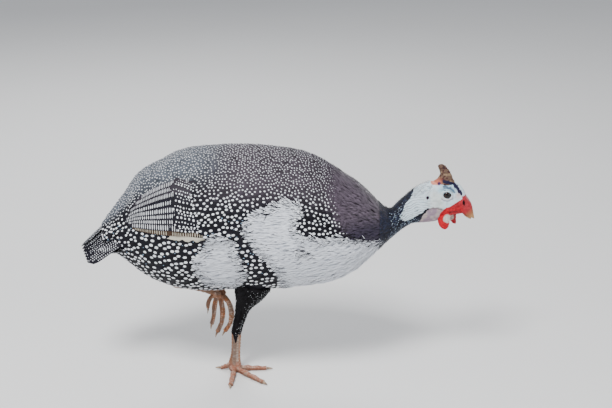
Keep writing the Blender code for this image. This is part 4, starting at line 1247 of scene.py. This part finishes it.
def bill_and_flaps():
    """The bill, the casque and the two wattles."""
    moist = tinted_material("bill", 0.34, 900, 0.14, 0.3, soft=0.05)
    worked("bill_upper_skin", ["bill_upper"], 0.32 * MM, bill_shape, bill_tint, "bill", moist)
    worked("bill_lower_skin", ["bill_lower"], 0.32 * MM, bill_shape, bill_tint, "bill", moist)
    worked("casque_skin", ["casque"], 0.42 * MM, casque_shape, casque_tint, "casque",
           tinted_material("casque", 0.62, 900, 0.25, 0.5))
    flap = tinted_material("wattle", 0.38, 900, 0.14, 0.35, soft=0.12)

    def wrinkled(points):
        return 0.22 * lumps(points, 1.6 * MM, 44) + 0.10 * lumps(points, 0.8 * MM, 45)
    for side in ("right", "left"):
        worked("wattle_skin_" + side, ["wattle_" + side], 0.35 * MM, wrinkled, wattle_tint, "wattle", flap)


class Rows(Vanes):
    """Wing feathers in rows: each ends below at its own lower edge and runs up under the row above it.

    A row of the table holds x of root and tip in mm, the lower edge at root and tip in degrees from the back,
    its bow, and the degrees that the feather covers at root and tip."""

    def __init__(self, hide, side, table, drop, base, sink=1.2 * MM):
        table = np.array(table, float)
        self.hide, self.side, self.drop, self.base, self.sink = hide, side, drop, base, sink
        self.root, self.tip = table[:, 0] * MM, table[:, 1] * MM
        self.low_root, self.low_tip, self.bow = table[:, 2], table[:, 3], table[:, 4]
        self.span_root, self.span_tip = table[:, 5], table[:, 6]
        self.length = np.abs(self.tip - self.root)
        self.half_width = self.span_root * 0.8 * MM

    def point(self, along, across, lift=0.0):
        each = {k: v[:, None] for k, v in self.__dict__.items() if isinstance(v, np.ndarray)}
        x = each["root"] + (each["tip"] - each["root"]) * along
        low = (each["low_root"] + (each["low_tip"] - each["low_root"]) * along
               + each["bow"] * 4 * along * (1 - along))
        span = each["span_root"] + (each["span_tip"] - each["span_root"]) * along
        turn = low - span * (across + 1) / 2
        out = self.base - self.drop * (across + 1) / 2 - self.sink * (1 - along) ** 2
        return self.hide.point(x, self.side * turn, out + lift)

    def places(self):
        middle = (self.low_root - self.span_root / 2) * self.side
        return self.hide.place((self.root + self.tip) / 2, middle)


class FreeVanes(Vanes):
    """Straight feathers in space, from root to tip, that face one way and droop a little."""

    def __init__(self, root, tip, width, facing, droop):
        self.root, self.tip = np.array(root, float), np.array(tip, float)
        along = self.tip - self.root
        self.length = np.linalg.norm(along, axis=1)
        along /= self.length[:, None]
        across = np.cross(along, facing)
        self.across = across / np.linalg.norm(across, axis=1)[:, None]
        self.up = np.cross(self.across, along)
        self.half_width = np.full(len(self.root), width / 2)
        self.droop = droop

    def point(self, along, across, lift=0.0):
        t = along[..., None]
        out = self.root[:, None] * (1 - t) + self.tip[:, None] * t
        out = out + self.across[:, None] * (across * self.half_width[:, None])[..., None]
        rise = (self.droop * np.sin(math.pi * along)
                - 0.10 * np.abs(across) ** 2 * self.half_width[:, None] + lift)
        return out + self.up[:, None] * rise[..., None]

    def places(self):
        middle = (self.root + self.tip) / 2
        low, high = middle.min(axis=0), middle.max(axis=0)
        return 0.05 + 0.9 * ((middle - low) / (high - low + 1e-9))[:, 1:]


def add_bars(coat, vanes, row, along, low, high, half, tint, slant=0.0):
    """Pale bars across feathers: the number of each bar's feather, its place along it, its ends across it and
    its half thickness in metres."""
    part = vanes.picked(row)
    faces, grid = vane_template(3, 5)
    v = np.array([r - 1.0 for r, _, _ in grid])
    u = np.array([c / 4 for _, c, _ in grid])
    under = np.array([side for _, _, side in grid], float)
    narrow = 1 - 0.55 * (np.abs(2 * u - 1) > 0.9)
    across = low[:, None] + (high - low)[:, None] * u[None]
    reach = along[:, None] + (v * narrow)[None] * (half / part.length)[:, None] + slant * across
    crown = (v == 0) * (1 - under) * 0.12 * MM
    points = part.point(reach, across, 0.14 * MM + crown[None] - 0.3 * MM * under[None])
    places = part.places() + np.stack([0.02 * (along - 0.5), 0 * along], axis=1)
    coat.add(points, faces, places, np.stack([v, 2 * u - 1], axis=1), tint)


# The rows of the folded wing from its lowest.
SECONDARIES = (
    (-78, -188, 91.5, 84.0, 1.0, 10, 9),
    (-84, -193, 85.0, 79.0, 1.0, 13, 11),
    (-90, -198, 76.0, 72.0, 0.5, 10, 8),
    (-92, -201, 70.0, 68.0, -0.5, 10, 8),
    (-94, -200, 63.5, 64.5, -1.0, 12, 8),
    (-96, -197, 55.5, 60.5, -2.5, 10, 8),
    (-98, -193, 50.0, 56.0, -4.5, 10, 8),
    (-98, -187, 44.5, 50.0, -4.5, 10, 8),
    (-98, -178, 39.0, 44.0, -3.5, 10, 8),
)
PRIMARY = ((-68, -156, 99.5, 89.0, 2.0, 9, 6),)
GREATER_COVERTS = (
    (-84, -128, 87.5, 82.0, 0.5, 12, 11),
    (-84, -132, 84.5, 76.0, 0.5, 14, 13),
    (-84, -129, 78.0, 67.5, 0.5, 14, 13),
    (-86, -134, 71.5, 59.5, 0.5, 14, 13),
    (-86, -130, 65.0, 51.5, 0.0, 13, 12),
    (-90, -135, 57.5, 43.5, 0.0, 11, 10),
    (-92, -131, 50.0, 36.5, 0.0, 8, 6),
)
# Lines of spots on each greater covert: place across it, pitch, least and most half size in mm.
COVERT_SPOTS = ((-0.78, 4.9, 1.25, 1.65), (-0.22, 3.7, 0.75, 1.25))
COVERT_MORE = ((0.35, 3.4, 0.5, 0.8),)
# The degrees of each secondary that the row above leaves bare, its bars' pitch and half thickness in mm, and
# the numbers of the first small secondary and covert.
EXPOSED = (6.5, 9.5, 6.0, 6.0, 8.0, 6.0, 6.0, 5.5, 6.5)
BAR_PITCH = 2.9
BAR_HALF = 0.58
EDGE_BAR_HALF = 0.48
SMALL_SECONDARY = 6
SMALL_COVERT = 5


def bar_rows():
    """Bars for all secondaries: feather, place along it, its two ends across it, half thickness, colour."""
    for i, (root, tip, *_, span, _) in enumerate(SECONDARIES):
        share = EXPOSED[i] / span
        fine = 0.75 if i >= SMALL_SECONDARY else 1.0
        colour = np.array(PEARL if i else CREAM) * (0.75 if i >= SMALL_SECONDARY else 0.9 if i else 0.8)
        x = -112.0 if i else -86.0
        while x > tip + 5:
            place = (x - root) / (tip - root)
            taper = 1 - 0.25 * ramp(place, 0.7, 1.0)
            near_tip = ramp(place, 0.93, 1.0)
            low = -1 + 2 * (0.12 + 0.5 * near_tip) * share + rng.normal(0, 0.02)
            high = -1 + 2 * share * (0.86 - 0.4 * near_tip) + rng.normal(0, 0.03)
            half = (BAR_HALF if i else EDGE_BAR_HALF) * fine * taper * rng.uniform(0.85, 1.15) * MM
            yield i, place, low, high, half, colour
            x -= BAR_PITCH * fine * taper * rng.uniform(0.86, 1.14)


def covert_spots():
    """Spots for all greater coverts: feather, place along and across it, half length and width in metres."""
    for i, (root, tip, *_) in enumerate(GREATER_COVERTS):
        fine = 0.78 if i >= SMALL_COVERT else 1.0
        lines = COVERT_SPOTS + (COVERT_MORE if i == len(GREATER_COVERTS) - 1 else ())
        for line, (place, pitch, low, high) in enumerate(lines):
            x = tip + 2.6 + 2.0 * line + rng.uniform(0, 2)
            while x < -93:
                size = rng.uniform(low, high) * fine
                across = place + rng.normal(0, 0.05)
                long = size * rng.uniform(0.7, 0.95) * MM
                wide = size * rng.uniform(0.95, 1.5) * MM
                yield i, (x - root) / (tip - root), across, long, wide
                x += pitch * fine * rng.uniform(0.85, 1.15)


def wing(outer, side, name):
    """One folded wing: the cream primary, the barred secondaries and the spotted greater coverts."""
    steps = tuple(np.linspace(0, 1, 15))
    feather = tinted_material("flight_" + name, 0.55, 900, 0.2, 0.2, barbs=True)
    pale = tinted_material("bars_" + name, 0.55, 600, 0.06, 0.1)
    ground, marks = Coat(), Coat()
    primary = Rows(outer, side, PRIMARY, 0.6 * MM, -0.9 * MM)
    add_vanes(ground, primary, np.array([CREAM]), steps, 7, 0.86, 0.1)

    rows = Rows(outer, side, SECONDARIES, 1.6 * MM, 0.2 * MM)
    tint = plain(INK, len(SECONDARIES)) * 1.6
    tint[0] = BROWN
    tint[SMALL_SECONDARY:] = mixed(tint[SMALL_SECONDARY:], BACK_GREY, 0.35)
    add_vanes(ground, rows, tint, steps, 7, 0.88, 0.1)
    add_bars(marks, rows, *map(np.array, zip(*bar_rows())), 0.004)

    coverts = Rows(outer, side, GREATER_COVERTS, 1.2 * MM, 0.9 * MM, 2.6 * MM)
    tint = varied(plain(INK, len(GREATER_COVERTS)) * 1.2, 0.1)
    tint[SMALL_COVERT:] = mixed(tint[SMALL_COVERT:], BACK_GREY, 0.4)
    add_vanes(ground, coverts, tint, steps, 7, 0.84, 0.1)
    row, along, across, long, wide = map(np.array, zip(*covert_spots()))
    add_pearls(marks, coverts.picked(row), along, across, long, wide,
               varied(plain(PEARL, len(row)) * 0.95, 0.05))
    whole = ground.piece("wing_feathers_" + name, feather, "plumage")
    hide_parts("wing_" + name)
    marks.piece("wing_marks_" + name, pale, "plumage", 80)


# Tiers of tail feathers in mm: pairs, middle root, step, middle tip, step, facing, step, width.
TAIL_TIERS = (
    (7, (-182, 4.0, 256.0), (0, 3.2, -6.6), (-261.5, 3.5, 188.0), (2.0, 4.6, -2.0), (-0.45, 0.10, 0.89),
     (0, 0.15, 0), 19),
    (4, (-186, 4.0, 181.0), (0, 8.0, 4.0), (-246, 4.5, 184.5), (3.0, 6.5, 0.5), (0, 0.10, -1),
     (0, 0.12, 0), 17),
)


def fan(pairs, root, root_step, tip, tip_step, facing, facing_step, width):
    """One tier of tail feathers, the right side's first."""
    k = np.arange(pairs)[:, None]

    def spread(first, step, scale):
        row = np.array(first) + k * np.array(step)
        return np.concatenate([row * np.array([1, side, 1]) * scale for side in (-1, 1)])
    return FreeVanes(spread(root, root_step, MM), spread(tip, tip_step, MM), width * MM,
                     spread(facing, facing_step, 1), 2.6 * MM)


def tail_spots(vanes):
    """Rows of spots on each tail feather: the feather, and the place along and across it."""
    for i, length in enumerate(vanes.length):
        for line in range(5):
            x = 0.42 + 0.02 * (line % 2)
            while x < 0.97 - 0.06 * abs(line - 2):
                yield i, x, (line - 2) * 0.36 + rng.normal(0, 0.02)
                x += 3.1 * MM / length * rng.uniform(0.9, 1.1)


def tail():
    """The fan of tail feathers, each with rows of small spots."""
    ground, marks = Coat(), Coat()
    for tier in TAIL_TIERS:
        vanes = fan(*tier)
        n = len(vanes.length)
        add_vanes(ground, vanes, varied(plain(INK, n) * 1.5, 0.1), tuple(np.linspace(0, 1, 13)), 7, 0.8, 0.1)
        row, along, across = map(np.array, zip(*tail_spots(vanes)))
        size = rng.uniform(0.65, 0.9, len(row)) * MM
        add_pearls(marks, vanes.picked(row), along, across, size * 0.8, size * 1.3,
                   varied(plain(PEARL, len(row)) * 0.8, 0.06), 6)
    whole = ground.piece("tail_feathers", tinted_material("tail", 0.55, 900, 0.2, 0.2, barbs=True), "plumage")
    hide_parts("tail")
    marks.piece("tail_marks", tinted_material("tail_marks", 0.55, 600, 0.06, 0.1), "plumage", 80)


# The middle lines of the thighs, from the top to the heel, in metres.
THIGHS = {"right": ((-0.0340, -0.0220, 0.1480), (-0.0566, 0.0008, 0.0590)),
          "left": ((-0.0840, 0.0345, 0.1580), (-0.1400, 0.0360, 0.1215))}


def add_locks(coat, roots, tips, width, facing, droop, widest):
    """Loose dark locks of the legs, from points in metres."""
    n = len(roots)
    lie = FreeVanes(roots, tips, width, plain(facing, n), droop)
    add_vanes(coat, lie, varied(plain(SHANK_BLACK, n), 0.3), HAIR_ROWS, 3, widest, 0.05)


def thighs():
    """Small dark feathers down each thigh, fine pale specks on its front, and locks at its two ends."""
    coat, specks = Coat(), Coat()
    for name, (start, end) in THIGHS.items():
        hide = limb_hide("thigh_" + name, start, end)
        at, turn, _ = scattered(hide, 2.4 * MM, lambda at, turn: np.ones(np.shape(at), bool), 12000)
        n = len(at)
        lie = THIGH.laid(hide, at, turn)
        THIGH.add(coat, lie, varied(plain(THIGH_BLACK, n), 0.4))
        forward = hide.read(hide.normals, at, turn)[:, 0]
        chosen = rng.random(n) < 0.75 * ramp(forward, -0.25, 0.35)
        m = chosen.sum()
        add_pearls(specks, lie.picked(chosen), np.full(m, 0.85), rng.uniform(-0.4, 0.4, m),
                   rng.uniform(0.35, 0.7, m) * MM, rng.uniform(0.3, 0.5, m) * MM,
                   varied(plain(PEARL, m) * 0.45, 0.25), 6)

    # The feathered point down the front of the standing shank
    n = 26
    aside = rng.uniform(-1, 1, n)
    low = 46 + 11 * np.abs(aside) + rng.uniform(-1, 2, n)
    roots = np.stack([-56.5 + 5.0 * aside, -5.2 + 2.5 * aside ** 2, 66 + 0 * aside], axis=1) * MM
    tips = np.stack([-57.6 + 2.6 * aside, -4.6 + 1.5 * aside ** 2, low], axis=1) * MM
    add_locks(coat, roots, tips, 2.6 * MM, (0.0, -1.0, 0.0), 0.5 * MM, 0.5)

    # The tuft in front of the standing thigh
    n = 14
    roots = np.array((-34, -25, 136)) + rng.normal(0, 1, (n, 3)) * np.array((2.0, 2.0, 1.6))
    tips = np.array((-12, -23, 131.0)) + rng.normal(0, 1, (n, 3)) * np.array((3.0, 1.5, 1.0))
    add_locks(coat, roots * MM, tips * MM, 3.0 * MM, (0.0, -1.0, -0.3), -0.6 * MM, 0.4)
    dark = tinted_material("thigh", 0.7, 900, 0.2, 0.3, barbs=True, gloss=0.08)
    coat.piece("thigh_feathers", dark, "plumage")
    specks.piece("thigh_specks", tinted_material("thigh_specks", 0.6, 600, 0.06, 0.1), "plumage", 80)


# The edge between the feathered neck and the bare white skin, as (x, z) in mm, from the nape to the throat.
BARE_EDGE = ((182, 270), (179.5, 264.5), (175.5, 257.3), (168.5, 249.4), (166.0, 240.8), (161.5, 234.1),
             (164.0, 228.1), (173.3, 225.9), (180, 228.5), (191.4, 235.0), (196.3, 241.5))


def bare_share(points):
    """Which places are bare skin of head, throat and upper neck; points in metres."""
    x, z = points[..., 0] / MM, points[..., 2] / MM
    outline = BARE_EDGE + ((300, 241.5), (300, 330), (182, 330))
    return inside(outline, x, z) | (x > 191.5 + 0.45 * (z - 232))


def neck_coat():
    """Short black feathers with pale flecks on the neck, bristles on the nape and thin hairs on the crown."""
    hide = body_hide(("torso", "neck", "head"), 0.135, 0.226, 1 * MM, 2)
    coat, flecks = Coat(), Coat()

    def wanted(at, turn):
        points = hide.read(hide.points, at + rng.normal(0, 0.8, np.shape(at)) * MM, turn)
        return ~bare_share(points) & (at < 0.192)
    at, turn, _ = scattered(hide, 1.35 * MM, wanted, 60000)
    n = len(at)
    lie = NECK.laid(hide, at, turn)
    NECK.add(coat, lie, varied(mixed(NECK_BLACK, NECK_BLUE, rng.random(n)), 0.25))
    chosen = (rng.random(n) < 0.34) & (at > 0.150) & (np.abs(turn) > 25)
    m = chosen.sum()
    add_pearls(flecks, lie.picked(chosen), np.full(m, 0.8), np.zeros(m), rng.uniform(0.5, 1.0, m) * MM,
               rng.uniform(0.3, 0.45, m) * MM, varied(plain(NECK_FLECK, m), 0.25), 6)

    nape = (np.abs(turn) < 40) & (at > 0.146)
    NAPE.add(coat, NAPE.laid(hide, at[nape], turn[nape]), plain(NECK_BLACK, nape.sum()))

    def on_crown(at, turn):
        return (at > 0.183) & (at < 0.207) & (np.abs(turn) < 34)
    at, turn, _ = scattered(hide, 1.7 * MM, on_crown, 20000)
    lie = CROWN.laid(hide, at, turn)
    CROWN.add(coat, lie, varied(plain(HAIR_GREY, len(at)), 0.4))
    coat.piece("neck_feathers", tinted_material("neck", 0.5, 900, 0.2, 0.3, 0.1), "collar")
    flecks.piece("neck_flecks", tinted_material("neck_flecks", 0.55, 600, 0.06, 0.1), "collar", 80)


outer = body_hide(("torso", "neck", "wing_right", "wing_left", "tail"), -0.262, 0.172, smooth=4)
body_skin(outer)
eyes()
bill_and_flaps()
legs()
dotted_coat(outer)
white_down(outer)
plain_collar(outer)
wing(outer, 1, "right")
wing(outer, -1, "left")
tail()
thighs()
neck_coat()
studio()
